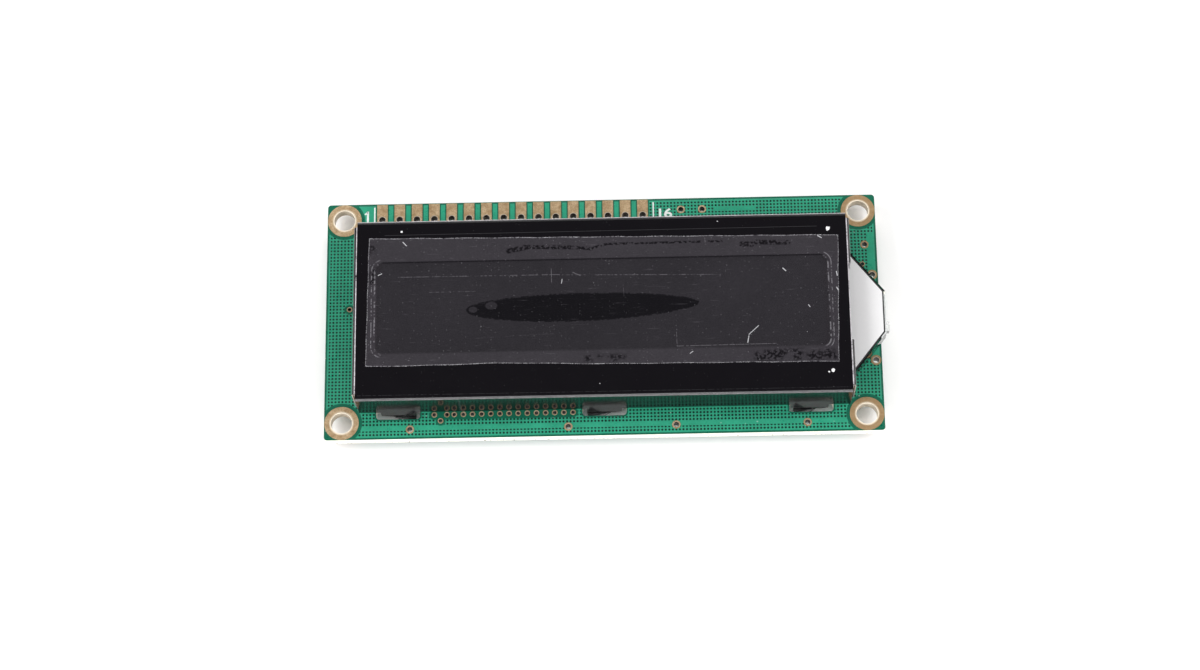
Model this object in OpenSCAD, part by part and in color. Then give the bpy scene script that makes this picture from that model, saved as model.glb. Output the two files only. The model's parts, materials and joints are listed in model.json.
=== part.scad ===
// Character LCD module, 16 x 2 type: circuit board, folded metal bezel,
// glass cell with polarizers, edge-lit backlight with a protruding tail.
// Origin: centre of the mounting hole pattern, on the front face of the board.
// +X runs along the board, +Y towards the pin row, +Z out of the display.

/* [Circuit board] */
// Length of the board
board_l = 80; // [79:0.1:84]
// Width of the board
board_w = 36; // [35.5:0.1:40]
// Thickness of the board
board_t = 1.6; // [1.2:0.1:2]
// Radius of the board's corners
board_corner_r = 0.5; // [0.2:0.1:1]
// Thickness of the copper pads and rings on both faces
copper_t = 0.05; // [0.03:0.01:0.1]

/* [Mounting holes] */
// Distance of the mounting holes from the board's edges
mount_edge = 2.5; // [2.5:0.05:2.8]
// Radius of a mounting hole
mount_r = 1.55; // [1.25:0.05:1.7]
// Width of the plated ring round a mounting hole
mount_ring_w = 0.92; // [0.5:0.02:0.95]

/* [Pin row] */
// Number of pin holes
pin_count = 16; // [14:1:16]
// Distance between pin holes
pin_pitch = 2.54; // [2.5:0.02:2.56]
// Distance of the first pin hole from the board's left edge
pin_first_edge = 8; // [7.5:0.1:8.2]
// Distance of the pin holes from the board's rear edge
pin_edge = 2.5; // [2.2:0.1:2.6]
// Radius of a pin hole
pin_hole_r = 0.5; // [0.4:0.05:0.55]
// Width of a pin pad
pin_pad_w = 1.55; // [1.4:0.05:1.7]
// Distance of a pin pad's end from the board's rear edge
pin_pad_edge = 0.1; // [0.05:0.05:0.3]
// Length of a pin pad
pin_pad_l = 3.4; // [3.2:0.1:3.6]

/* [Vias and backlight pads] */
// Radius of a small via's hole
via_r = 0.3; // [0.2:0.05:0.35]
// Width of the ring round a small via
via_ring_w = 0.1; // [0.08:0.02:0.14]
// Radius of a large via's hole
big_via_r = 0.42; // [0.35:0.01:0.45]
// Width of the ring round a large via
big_via_ring_w = 0.18; // [0.1:0.02:0.22]
// Number of small vias in the row in front of the bezel
via_row_count = 14; // [10:1:14]
// Distance between small vias in that row
via_row_pitch = 1.306; // [1.25:0.002:1.32]
// Distance of the row of small vias from the bezel's front wall
via_row_gap = 0.48; // [0.45:0.01:0.6]
// Distance of the last via of that row from the middle tab slot
via_row_end = 1.35; // [1.1:0.05:1.6]
// Distance of the group of three small vias from the row
via_group_gap = 1.95; // [1.7:0.05:2.2]
// Spread of the group of three small vias
via_group_r = 0.9; // [0.7:0.05:1]
// Distance of the front large vias from the board's front edge
via_edge = 1.4; // [1.2:0.1:1.6]
// Distance of the other large vias from the board's edges
rear_via_edge = 1.75; // [1.5:0.05:2]
// Distance of the single small via at the left from the board's end
left_via_edge = 3.4; // [3.2:0.1:3.6]
// Distance of the single small via at the right from the board's end
right_via_edge = 2.2; // [2:0.1:2.4]
// Radius of the two backlight pad holes at the end of the board
lamp_pad_hole_r = 0.45; // [0.35:0.05:0.5]
// Width of the ring round a backlight pad hole
lamp_pad_ring_w = 0.3; // [0.2:0.05:0.3]
// Distance between the centres of the backlight pads
lamp_pad_pitch = 13; // [12.6:0.1:13.4]
// Distance of the backlight pads from the board's right edge
lamp_pad_edge = 0.85; // [0.8:0.05:1]
// Distance of the middle between the backlight pads behind the tail's middle
lamp_pad_shift = 0.15; // [-0.2:0.05:0.3]

/* [Bezel] */
// Width of the board left bare in front of the bezel
bezel_front = 4; // [3.9:0.05:4.3]
// Width of the board left bare behind the bezel, for the pin row
bezel_rear = 5; // [4.9:0.05:5.3]
// Length of the board left bare at the bezel's left end
bezel_left = 4.5; // [4:0.1:5]
// Length of the board left bare at the bezel's right end
bezel_right = 4.3; // [4:0.1:5]
// Thickness of the bezel's sheet metal
bezel_t = 0.4; // [0.3:0.05:0.45]
// Outer radius of the folds
fold_r = 0.5; // [0.46:0.02:0.7]
// Gap between the ends of the end walls and the folds of the long walls
corner_gap = 0.4; // [0.2:0.05:0.5]
// Width of the window's frame at both ends
frame_end = 3.3; // [3:0.1:4]
// Width of the window's frame in front
frame_front = 6.8; // [6:0.05:7]
// Width of the window's frame behind
frame_rear = 6.4; // [6:0.05:7]
// Radius of the window's corners
window_r = 1; // [0.5:0.1:2]
// Gap between the end walls and the board
end_wall_gap = 0.2; // [0.1:0.05:0.5]
// Length of the notch in the right wall, above the backlight's tail
notch_l = 11.6; // [8:0.1:13]

/* [Bezel tabs] */
// Length of a tab slot in the board
slot_l = 6.3; // [5.8:0.1:6.8]
// Width of a tab slot in the board
slot_w = 1.55; // [1.4:0.05:1.8]
// Gap between a tab's inner face and the slot's inner edge
slot_gap = 0.1; // [0.05:0.05:0.2]
// Corner radius of a tab slot
slot_r = 0.5; // [0.3:0.05:0.65]
// Distance of the outer tabs' middles from the bezel's ends
tab_end = 6.1; // [5.5:0.1:8]
// Width of a tab
tab_w = 5; // [4:0.1:5.4]
// Length of a tab below the board
tab_drop = 1.7; // [1.6:0.05:2]
// Turn of a tab's twisted end, in degrees
tab_twist = 34; // [25:1:40]

/* [Glass cell] */
// Thickness of each glass plate
glass_t = 1.1; // [0.7:0.1:1.1]
// Thickness of the liquid crystal layer with its seal
cell_gap = 0.05; // [0.03:0.01:0.08]
// Width of the seal line
seal_w = 1; // [0.8:0.1:1.5]
// Distance of the seal from the edges of the rear plate
seal_inset = 0.4; // [0.2:0.1:0.6]
// Thickness of each polarizer
polarizer_t = 0.2; // [0.15:0.01:0.25]
// Setback of the rear polarizer from the edges of the rear plate
polarizer_setback = 0.5; // [0.3:0.1:1]
// Radius of the resin dab that closes the filling port
plug_r = 1; // [0.7:0.1:1.1]
// Gap between the front plate and the end walls
glass_end_gap = 0.35; // [0.2:0.05:0.5]
// Gap between the front plate and the long walls
glass_side_gap = 0.35; // [0.2:0.05:0.5]
// Step between the ends of the front plate and of the rear plate
end_step = 0.2; // [0.1:0.05:0.4]
// Width of the contact ledge along each long edge of the front plate
ledge_w = 2.4; // [2.3:0.1:2.6]
// Overlap of the bezel's window frame on the front polarizer
polarizer_lap = 1.3; // [1:0.1:1.5]
// Gap between the front polarizer and the bezel
press_gap = 0.05; // [0.02:0.01:0.1]
// Thickness of the zebra strips
zebra_t = 1.8; // [1.5:0.1:1.9]
// Distance of the zebra strips' ends from the ends of the front plate
zebra_end = 1.85; // [1:0.05:3]

/* [Backlight] */
// Thickness of the reflector sheet
reflector_t = 0.15; // [0.1:0.01:0.2]
// Thickness of the light guide
guide_t = 2.7; // [2.5:0.1:3]
// Mean gap between the light guide and the zebra strips
guide_gap = 0.6; // [0.4:0.05:0.8]
// Shift of the light guide from the middle of the bezel
guide_shift = -0.25; // [-0.3:0.05:0.3]
// Thickness of the diffuser sheet
diffuser_t = 0.15; // [0.1:0.01:0.2]
// Setback of the diffuser from the edges of the light guide
diffuser_setback = 0.4; // [0.2:0.1:0.6]
// Reach of the tail past the outer face of the bezel's right wall
tail_reach = 4.9; // [4.6:0.1:5.2]
// Step from the light guide's edges to the tail where it leaves the bezel
tail_step = 1; // [0.7:0.05:1.5]
// Width of the tail's tip
tail_tip_w = 6.3; // [5:0.1:7]
// Shift of the tail from the middle of the light guide
tail_shift = -0.4; // [-0.4:0.05:0.4]
// Inset of the black tape from the tail's edges
tape_inset = 0.2; // [0.1:0.05:0.3]
// Thickness of the black tape
tape_t = 0.05; // [0.03:0.01:0.08]
// Width of the black rim left round the white foil
foil_inset = 0.22; // [0.1:0.02:0.3]
// Thickness of the white foil
foil_t = 0.1; // [0.05:0.01:0.15]
// Clearance between the tail and the bezel's wall above it and beside it
tail_clearance = 0.25; // [0.15:0.05:0.4]
// Length of the gate mark left on the tail's tip by moulding
gate_l = 0.45; // [0.3:0.05:0.6]
// Width of the gate mark
gate_w = 1.3; // [1:0.1:1.6]
// Distance of the gate mark from the tip's corner
gate_edge = 0.5; // [0.3:0.1:1]

/* [Backlight lamp] */
// Length of the lamp along the board
lamp_l = 1.5; // [1.2:0.1:1.6]
// Width of the lamp across the board
lamp_w = 3.2; // [2.6:0.1:3.6]
// Height of the lamp
lamp_h = 2.1; // [1.8:0.1:2.2]
// Distance of the lamp from the tail's tip
lamp_tip_gap = 0.7; // [0.6:0.05:0.9]
// Clearance round the lamp in its pocket
lamp_clearance = 0.1; // [0.05:0.05:0.2]
// Radius of the lamp's pins
lamp_pin_r = 0.25; // [0.2:0.05:0.3]
// Clearance of the lamp's pins in their holes
lamp_pin_gap = 0.05; // [0.03:0.01:0.1]
// Distance between the lamp's pins
lamp_pin_pitch = 2; // [1.6:0.1:2.2]
// Length of the lamp's pins below the board
lamp_pin_drop = 0.9; // [0.7:0.1:1.2]
// Height of the solder cones round the pins
solder_h = 0.6; // [0.4:0.05:0.7]
// Width of the solder cones at the board
solder_w = 0.5; // [0.3:0.05:0.6]

/* [Protective film] */
// Overlap of the film past the window's ends
film_lap_x = 1.25; // [1:0.05:1.6]
// Mean overlap of the film past the window's long edges
film_lap_y = 2.72; // [2.4:0.02:2.9]
// Shift of the film from the middle of the window, across the board
film_shift = 0.54; // [0.3:0.02:0.7]
// Thickness of the film
film_t = 0.08; // [0.05:0.01:0.12]
// Turn of the film on the bezel, in degrees
film_turn = -0.62; // [-0.8:0.02:0.8]
// Lean of the film's cut ends from its lower to its upper edge
film_lean = 0.3; // [0:0.05:0.5]

/* [Parts on the back] */
// Radius of the resin drops over the chips
drop_r = 7.4; // [6:0.1:8]
// Height of the resin drops
drop_h = 1.35; // [1:0.05:1.5]
// Gap between the two resin drops
drop_gap = 18.2; // [16:0.2:20]
// Length of a chip resistor or capacitor
chip_l = 2; // [1.6:0.1:2.2]
// Width of a chip resistor or capacitor
chip_w = 1.25; // [0.8:0.05:1.3]
// Height of a chip resistor
resistor_h = 0.5; // [0.4:0.05:0.6]
// Height of a chip capacitor
capacitor_h = 0.9; // [0.7:0.05:1.1]
// Length of the metal end of a chip
chip_end = 0.38; // [0.3:0.02:0.45]
// Number of chip resistors in the front row
resistor_count = 5; // [3:1:6]
// Distance between chip resistors in the front row
resistor_pitch = 2.6; // [2.4:0.1:3]
// Distance of the front row of resistors from the middle of the board
resistor_row_y = 9.5; // [8.5:0.1:10]
// Distance between the two resistors of the rear row
resistor_pair_pitch = 5; // [4:0.1:6]
// Gap between the resin drops and the capacitors beside them
capacitor_gap = 4.5; // [3:0.1:5]

/* [Hidden] */
$fn = 48;
eps = 0.01;

// Stack of layers, from the board's front face upwards
guide_z = reflector_t;
tape_z = guide_z + guide_t;
foil_z = tape_z + tape_t;
diffuser_z = guide_z + guide_t;
rear_polarizer_z = diffuser_z + diffuser_t;
rear_glass_z = rear_polarizer_z + polarizer_t;
cell_z = rear_glass_z + glass_t;
front_glass_z = cell_z + cell_gap;
front_polarizer_z = front_glass_z + glass_t;
bezel_inner_z = front_polarizer_z + polarizer_t + press_gap;
bezel_h = bezel_inner_z + bezel_t;

// Mounting holes
mount_x = board_l / 2 - mount_edge;
mount_y = board_w / 2 - mount_edge;

// Bezel
bezel_l = board_l - bezel_left - bezel_right;
bezel_w = board_w - bezel_front - bezel_rear;
bezel_x = (bezel_left - bezel_right) / 2;
bezel_y = (bezel_front - bezel_rear) / 2;
end_wall_x = bezel_x + bezel_l / 2;
end_wall_inset = fold_r + corner_gap;
inner_l = bezel_l - 2 * bezel_t;
inner_w = bezel_w - 2 * bezel_t;
window_l = bezel_l - 2 * frame_end;
window_w = bezel_w - frame_front - frame_rear;
window_y = bezel_y + (frame_front - frame_rear) / 2;

// Tabs and their slots
tab_pitch = bezel_l / 2 - tab_end;
tab_wall_y = bezel_w / 2 - bezel_t / 2;
slot_dy = bezel_w / 2 - bezel_t - slot_gap + slot_w / 2;
front_tab_turns = [-1, 1, 1];
rear_tab_turns = [1, -1, -1];

// Glass plates and zebra strips, centred in the bezel
front_glass_l = inner_l - 2 * glass_end_gap;
front_glass_w = inner_w - 2 * glass_side_gap;
rear_glass_l = front_glass_l - 2 * end_step;
rear_glass_w = front_glass_w - 2 * ledge_w;
seal_l = rear_glass_l - 2 * seal_inset;
seal_span = rear_glass_w - 2 * seal_inset;
zebra_l = front_glass_l - 2 * zebra_end;
zebra_y = front_glass_w / 2 - zebra_t / 2;

// Backlight
guide_y = bezel_y + guide_shift;
guide_w = front_glass_w - 2 * zebra_t - 2 * guide_gap;
guide_left = bezel_x - front_glass_l / 2;
guide_right = bezel_x + front_glass_l / 2;
tail_x = end_wall_x + tail_reach;
tail_y = guide_y + tail_shift;
tail_root_w = guide_w - 2 * tail_step;
tail_slope = (tail_root_w - tail_tip_w) / 2 / tail_reach;
tail_top = foil_z + foil_t;
tape_left = guide_right - diffuser_setback / 2;
lamp_right = tail_x - lamp_tip_gap;
lamp_x = lamp_right - lamp_l / 2;
opening_w = tail_root_w + 2 * tail_slope * bezel_t + 2 * tail_clearance;

// Protective film
film_l = window_l + 2 * film_lap_x;
film_w = window_w + 2 * film_lap_y;

// Pin row
pin_first_x = pin_first_edge - board_l / 2;
pin_y = board_w / 2 - pin_edge;
pin_pad_y = board_w / 2 - pin_pad_edge - pin_pad_l / 2;

// Vias: [x, y] of each
via_row_y = bezel_y - bezel_w / 2 - via_row_gap;
via_row_x = bezel_x - slot_l / 2 - via_row_end;
via_group_x = via_row_x - (via_row_count - 1) * via_row_pitch - via_group_gap;
front_via_xs = [-27.7, -5.1, 10.3, 29];
rear_via_xs = [11.7, 14.8];
via_places = concat(
    [for (i = [0 : via_row_count - 1]) [via_row_x - i * via_row_pitch, via_row_y]],
    [for (a = [0, 180, 270])
        [via_group_x + via_group_r * cos(a), via_row_y + via_group_r * sin(a)]],
    [[left_via_edge - board_l / 2, 1.7], [board_l / 2 - right_via_edge, 7.2]]
);
big_via_places = concat(
    [for (x = front_via_xs) [x, via_edge - board_w / 2]],
    [for (x = rear_via_xs) [x, board_w / 2 - rear_via_edge]],
    [[board_l / 2 - rear_via_edge, 10.2]]
);
lamp_pad_places = [for (s = [-1, 1])
    [board_l / 2 - lamp_pad_edge, tail_y + lamp_pad_shift + s * lamp_pad_pitch / 2]];
lamp_pin_places = [for (s = [-1, 1]) [lamp_x, tail_y + s * lamp_pin_pitch / 2]];

// Parts on the back: [x, y, turn]
drop_x = drop_gap / 2 + drop_r;
resistor_places = concat(
    [for (i = [0 : resistor_count - 1])
        [(i - (resistor_count - 1) / 2) * resistor_pitch, -resistor_row_y, 90]],
    [for (s = [-1, 1]) [s * resistor_pair_pitch / 2, resistor_row_y, 0]]
);
capacitor_places = [for (s = [-1, 1]) [s * (drop_x + drop_r + capacitor_gap), drop_r, 90]];

// A rectangle with round corners, centred on the origin
module round_rect(l, w, r) {
    square([l - 2 * r, w], center = true);
    square([l, w - 2 * r], center = true);
    for (x = [-1, 1], y = [-1, 1])
        translate([x * (l / 2 - r), y * (w / 2 - r)]) circle(r);
}

// A centred sheet lying at height z
module sheet(l, w, t, z, x = 0, y = 0) {
    translate([x, y, z + t / 2]) cube([l, w, t], center = true);
}

// Copies its children to both faces of the board, the second one mirrored
module on_both_faces() {
    children();
    translate([0, 0, -board_t]) mirror([0, 0, 1]) children();
}

// The rings of a plated hole, one on each face of the board
module hole_rings(r, ring_w) {
    on_both_faces() linear_extrude(copper_t) difference() {
        circle(r + ring_w);
        circle(r);
    }
}

module at_mounting_holes() {
    for (x = [-1, 1], y = [-1, 1])
        translate([x * mount_x, y * mount_y, 0]) children();
}

module at_pins() {
    for (i = [0 : pin_count - 1])
        translate([pin_first_x + i * pin_pitch, pin_y, 0]) children();
}

module at_places(places) {
    for (p = places) translate([p[0], p[1], 0]) rotate(len(p) > 2 ? p[2] : 0) children();
}

// Calls its children at each tab, with $turn the side to which that tab is twisted
module at_tabs(y_off) {
    for (i = [0 : 2]) {
        $turn = front_tab_turns[i];
        translate([bezel_x + (i - 1) * tab_pitch, bezel_y - y_off, 0]) children();
    }
    for (i = [0 : 2]) {
        $turn = rear_tab_turns[i];
        translate([bezel_x + (i - 1) * tab_pitch, bezel_y + y_off, 0]) children();
    }
}

// ---- Circuit board and its copper ----

module circuit_board() {
    color("seagreen") translate([0, 0, -board_t]) linear_extrude(board_t) difference() {
        round_rect(board_l, board_w, board_corner_r);
        at_mounting_holes() circle(mount_r);
        at_pins() circle(pin_hole_r);
        at_places(via_places) circle(via_r);
        at_places(big_via_places) circle(big_via_r);
        at_places(lamp_pad_places) circle(lamp_pad_hole_r);
        at_places(lamp_pin_places) circle(lamp_pin_r + lamp_pin_gap);
        at_tabs(slot_dy) round_rect(slot_l, slot_w, slot_r);
    }
}

module mounting_rings() {
    color("tan") at_mounting_holes() hole_rings(mount_r, mount_ring_w);
}

// Long pads that reach from beside the bezel almost to the board's rear edge
module pin_pads() {
    color("tan") at_pins() on_both_faces() linear_extrude(copper_t) difference() {
        translate([0, pin_pad_y - pin_y]) square([pin_pad_w, pin_pad_l], center = true);
        circle(pin_hole_r);
    }
}

module via_rings() {
    color("tan") {
        at_places(via_places) hole_rings(via_r, via_ring_w);
        at_places(big_via_places) hole_rings(big_via_r, big_via_ring_w);
    }
}

module backlight_pads() {
    color("silver") at_places(lamp_pad_places) hole_rings(lamp_pad_hole_r, lamp_pad_ring_w);
}

// ---- Bezel ----

// Section of a folded edge: the fold, the wall below it down to foot,
// and a short flat above that joins the top
module fold_section(foot) {
    intersection() {
        difference() {
            circle(fold_r);
            circle(fold_r - bezel_t);
        }
        square(fold_r);
    }
    translate([fold_r - bezel_t, foot - (bezel_h - fold_r)])
        square([bezel_t, bezel_h - fold_r - foot]);
    translate([-fold_r, fold_r - bezel_t]) square([fold_r, bezel_t]);
}

// A folded edge of length l along Y, whose outer face is at distance reach in +X
module folded_edge(l, reach, foot) {
    translate([reach - fold_r, l / 2, bezel_h - fold_r]) rotate([90, 0, 0])
        linear_extrude(l) fold_section(foot);
}

// One tab: straight through its slot, then twisted so that it can't be pulled back
module tab() {
    translate([0, 0, -board_t / 2]) cube([tab_w, bezel_t, board_t + 2 * eps], center = true);
    translate([0, 0, -board_t]) mirror([0, 0, 1])
        linear_extrude(tab_drop, twist = -$turn * tab_twist, slices = 8, segments = 4)
            square([tab_w, bezel_t], center = true);
}

module bezel() {
    color("dimgray") {
        difference() {
            translate([bezel_x, bezel_y, 0]) union() {
                sheet(bezel_l - 2 * fold_r, bezel_w - 2 * fold_r, bezel_t, bezel_inner_z);
                for (a = [0, 180]) rotate(a)
                    folded_edge(bezel_w - 2 * end_wall_inset, bezel_l / 2, end_wall_gap);
                for (a = [90, 270]) rotate(a)
                    folded_edge(bezel_l - 2 * fold_r, bezel_w / 2, 0);
            }
            translate([bezel_x, window_y, bezel_inner_z - 1]) linear_extrude(bezel_t + 2)
                round_rect(window_l, window_w, window_r);
            // opening for the backlight's tail, and the notch above it
            translate([end_wall_x - fold_r - 1, tail_y - opening_w / 2, -1])
                cube([fold_r + 2, opening_w, tail_top + tail_clearance + 1]);
            translate([end_wall_x - fold_r + 0.1, bezel_y - notch_l / 2, -1])
                cube([fold_r + 1, notch_l, bezel_h + 2]);
        }
        at_tabs(tab_wall_y) tab();
    }
}

// ---- Film on the display ----

module protective_film() {
    color("lightslategray", 0.6) translate([bezel_x, window_y + film_shift, bezel_h])
        rotate(film_turn) linear_extrude(film_t) polygon([
            [-film_l / 2 - film_lean / 2, -film_w / 2],
            [film_l / 2 - film_lean / 2, -film_w / 2],
            [film_l / 2 + film_lean / 2, film_w / 2],
            [-film_l / 2 + film_lean / 2, film_w / 2]
        ]);
}

// ---- Glass cell, from the front to the back ----

module front_polarizer() {
    color("black") sheet(window_l + 2 * polarizer_lap, window_w + 2 * polarizer_lap,
        polarizer_t, front_polarizer_z, bezel_x, window_y);
}

module front_glass() {
    color("lightblue", 0.5)
        sheet(front_glass_l, front_glass_w, glass_t, front_glass_z, bezel_x, bezel_y);
}

module cell_seal() {
    color("gray") translate([bezel_x, bezel_y, cell_z]) linear_extrude(cell_gap) difference() {
        square([seal_l, seal_span], center = true);
        square([seal_l - 2 * seal_w, seal_span - 2 * seal_w], center = true);
    }
}

module liquid_crystal() {
    color("midnightblue")
        sheet(seal_l - 2 * seal_w, seal_span - 2 * seal_w, cell_gap, cell_z, bezel_x, bezel_y);
}

// Dab of resin that closes the filling port, in the step at the plates' left end
module fill_plug() {
    color("khaki") translate([bezel_x - rear_glass_l / 2, bezel_y, front_glass_z])
        rotate([0, -90, 0]) linear_extrude(end_step) intersection() {
            circle(plug_r);
            translate([-plug_r, -plug_r]) square([plug_r, 2 * plug_r]);
        }
}

module rear_glass() {
    color("lightblue", 0.5)
        sheet(rear_glass_l, rear_glass_w, glass_t, rear_glass_z, bezel_x, bezel_y);
}

module rear_polarizer() {
    color("darkslategray")
        sheet(rear_glass_l - 2 * polarizer_setback, rear_glass_w - 2 * polarizer_setback,
            polarizer_t, rear_polarizer_z, bezel_x, bezel_y);
}

// Striped elastic strips that carry the signals from the board to the front plate
module zebra_strip(side) {
    color("darkgray")
        sheet(zebra_l, zebra_t, front_glass_z, 0, bezel_x, bezel_y + side * zebra_y);
}
module zebra_strip_front() { zebra_strip(-1); }
module zebra_strip_rear() { zebra_strip(1); }

// ---- Backlight ----

// Outline of the tail, drawn in by inset, from x_from to the tip
module tail_outline(inset = 0, x_from = end_wall_x) {
    side_inset = inset * sqrt(1 + tail_slope * tail_slope);
    root = tail_root_w / 2 + tail_slope * (end_wall_x - x_from) - side_inset;
    tip = tail_tip_w / 2 + tail_slope * inset - side_inset;
    translate([0, tail_y]) polygon([
        [x_from, -root], [tail_x - inset, -tip], [tail_x - inset, tip], [x_from, root]
    ]);
}

module diffuser() {
    color("white") sheet(guide_right - guide_left - 2 * diffuser_setback,
        guide_w - 2 * diffuser_setback, diffuser_t, diffuser_z, bezel_x, guide_y);
}

module light_guide() {
    color("aliceblue", 0.6) difference() {
        translate([0, 0, guide_z]) {
            linear_extrude(guide_t) {
                translate([guide_left, guide_y - guide_w / 2])
                    square([guide_right - guide_left, guide_w]);
                tail_outline(x_from = guide_right - eps);
            }
            // gate mark on the tip
            translate([tail_x - eps, tail_y - tail_tip_w / 2 + gate_edge, guide_t / 4])
                cube([gate_l + eps, gate_w, guide_t / 2]);
        }
        // pocket for the lamp, open below
        sheet(lamp_l + 2 * lamp_clearance, lamp_w + 2 * lamp_clearance,
            lamp_h + 2 * lamp_clearance + 1, guide_z - 1, lamp_x, tail_y);
    }
}

module reflector() {
    color("white") linear_extrude(reflector_t) {
        translate([guide_left, guide_y - guide_w / 2])
            square([guide_right - guide_left, guide_w]);
        intersection() {
            tail_outline(inset = tape_inset, x_from = guide_right - eps);
            translate([guide_left, guide_y - guide_w / 2])
                square([lamp_right - lamp_l - 3 * lamp_clearance - guide_left, guide_w]);
        }
    }
}

module tail_tape() {
    color("black") translate([0, 0, tape_z]) linear_extrude(tape_t)
        tail_outline(inset = tape_inset, x_from = tape_left);
}

module tail_foil() {
    color("white") translate([0, 0, foil_z]) linear_extrude(foil_t)
        tail_outline(inset = tape_inset + foil_inset, x_from = tape_left);
}

module lamp() {
    color("ivory") sheet(lamp_l, lamp_w, lamp_h, 0, lamp_x, tail_y);
}

module lamp_pins() {
    color("silver") at_places(lamp_pin_places)
        translate([0, 0, -board_t - lamp_pin_drop])
            cylinder(r = lamp_pin_r, h = board_t + lamp_pin_drop);
}

module lamp_solder() {
    color("silver") at_places(lamp_pin_places) translate([0, 0, -board_t - solder_h])
        difference() {
            cylinder(r1 = lamp_pin_r + 0.1, r2 = lamp_pin_r + solder_w, h = solder_h);
            translate([0, 0, -1]) cylinder(r = lamp_pin_r, h = solder_h + 2);
        }
}

// ---- Parts on the back of the board ----

// A shallow dome of resin hanging from the board's back, made from a sphere's cap
module resin_drop(side) {
    ball_r = (drop_r * drop_r + drop_h * drop_h) / (2 * drop_h);
    color("black") translate([side * drop_x, 0, -board_t]) intersection() {
        translate([0, 0, ball_r - drop_h]) sphere(ball_r, $fn = 128);
        translate([0, 0, -drop_h - 1]) cylinder(r = drop_r + 1, h = drop_h + 1);
    }
}
module controller_drop() { resin_drop(-1); }
module driver_drop() { resin_drop(1); }

// A chip's body between its two metal ends
module chip_body(h) {
    translate([0, 0, -board_t - h / 2])
        cube([chip_l - 2 * chip_end, chip_w, h], center = true);
}

module chip_pair_of_ends(h) {
    for (s = [-1, 1])
        translate([s * (chip_l - chip_end) / 2, 0, -board_t - h / 2])
            cube([chip_end, chip_w, h], center = true);
}

module chip_resistors() {
    color("black") at_places(resistor_places) chip_body(resistor_h);
}

module chip_capacitors() {
    color("peru") at_places(capacitor_places) chip_body(capacitor_h);
}

module chip_ends() {
    color("silver") {
        at_places(resistor_places) chip_pair_of_ends(resistor_h);
        at_places(capacitor_places) chip_pair_of_ends(capacitor_h);
    }
}

circuit_board();
mounting_rings();
pin_pads();
via_rings();
backlight_pads();
bezel();
protective_film();
front_polarizer();
front_glass();
cell_seal();
liquid_crystal();
fill_plug();
rear_glass();
rear_polarizer();
zebra_strip_front();
zebra_strip_rear();
diffuser();
light_guide();
reflector();
tail_tape();
tail_foil();
lamp();
lamp_pins();
lamp_solder();
controller_drop();
driver_drop();
chip_resistors();
chip_capacitors();
chip_ends();
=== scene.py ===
import json
import math

import bmesh
import bpy
import numpy as np
from mathutils import Matrix, Vector


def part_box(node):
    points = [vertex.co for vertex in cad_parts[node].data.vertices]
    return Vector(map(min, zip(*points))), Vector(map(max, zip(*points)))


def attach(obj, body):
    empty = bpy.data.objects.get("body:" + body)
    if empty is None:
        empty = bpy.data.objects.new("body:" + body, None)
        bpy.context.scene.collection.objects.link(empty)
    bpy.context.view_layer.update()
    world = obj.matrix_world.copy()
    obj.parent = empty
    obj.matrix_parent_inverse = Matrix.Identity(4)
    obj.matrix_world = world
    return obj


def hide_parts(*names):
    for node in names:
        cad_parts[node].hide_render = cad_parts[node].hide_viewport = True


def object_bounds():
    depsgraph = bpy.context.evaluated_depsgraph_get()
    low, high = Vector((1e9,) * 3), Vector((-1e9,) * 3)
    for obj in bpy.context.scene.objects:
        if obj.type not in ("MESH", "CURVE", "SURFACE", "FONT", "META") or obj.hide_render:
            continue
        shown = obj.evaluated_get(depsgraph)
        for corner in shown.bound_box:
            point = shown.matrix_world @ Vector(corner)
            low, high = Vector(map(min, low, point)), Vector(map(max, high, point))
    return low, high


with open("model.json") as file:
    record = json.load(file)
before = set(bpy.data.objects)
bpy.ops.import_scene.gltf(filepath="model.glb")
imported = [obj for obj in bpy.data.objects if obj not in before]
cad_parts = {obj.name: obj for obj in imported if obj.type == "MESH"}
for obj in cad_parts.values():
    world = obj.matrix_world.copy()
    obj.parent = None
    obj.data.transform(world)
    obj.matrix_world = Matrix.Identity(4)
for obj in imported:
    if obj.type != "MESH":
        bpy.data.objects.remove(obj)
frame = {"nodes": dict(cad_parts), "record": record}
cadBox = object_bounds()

mm = 0.001
nodes = frame["nodes"]
record = frame["record"]
scene = bpy.context.scene
scene.view_settings.view_transform = "Standard"
print("frame loaded:", len(nodes), "nodes")


# ---- places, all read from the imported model, in millimetres

def nodeBox(name):
    low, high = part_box(name)
    return np.array(low) / mm, np.array(high) / mm


def meshPoints(name):
    mesh = nodes[name].data
    points = np.zeros(len(mesh.vertices) * 3)
    mesh.vertices.foreach_get("co", points)
    return points.reshape(-1, 3) / mm


def islandBoxes(name):
    # Corner boxes of a node's separate solids: vertices at one place share a label, and each
    # label takes the lowest of its neighbours' until none changes.
    mesh = nodes[name].data
    points = meshPoints(name)
    pairs = np.zeros(len(mesh.edges) * 2, dtype=int)
    mesh.edges.foreach_get("vertices", pairs)
    same = np.unique(np.round(points, 4), axis=0, return_inverse=True)[1].ravel()
    pairs = same[pairs.reshape(-1, 2)]
    labels = np.arange(same.max() + 1)
    changed = True
    while changed:
        before = labels.copy()
        lowest = np.minimum(labels[pairs[:, 0]], labels[pairs[:, 1]])
        np.minimum.at(labels, pairs[:, 0], lowest)
        np.minimum.at(labels, pairs[:, 1], lowest)
        changed = (labels != before).any()
    kinds, island = np.unique(labels[same], return_inverse=True)
    low = np.full((len(kinds), 3), 1e9)
    high = -low
    np.minimum.at(low, island, points)
    np.maximum.at(high, island, points)
    return low, high


def frontCentres(name):
    # centres and outer radii of the solids on the board's front face
    low, high = islandBoxes(name)
    front = low[:, 2] > boardLow[2] / 2
    return ((low + high) / 2)[front, :2], ((high - low) / 2)[front, 0]


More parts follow.
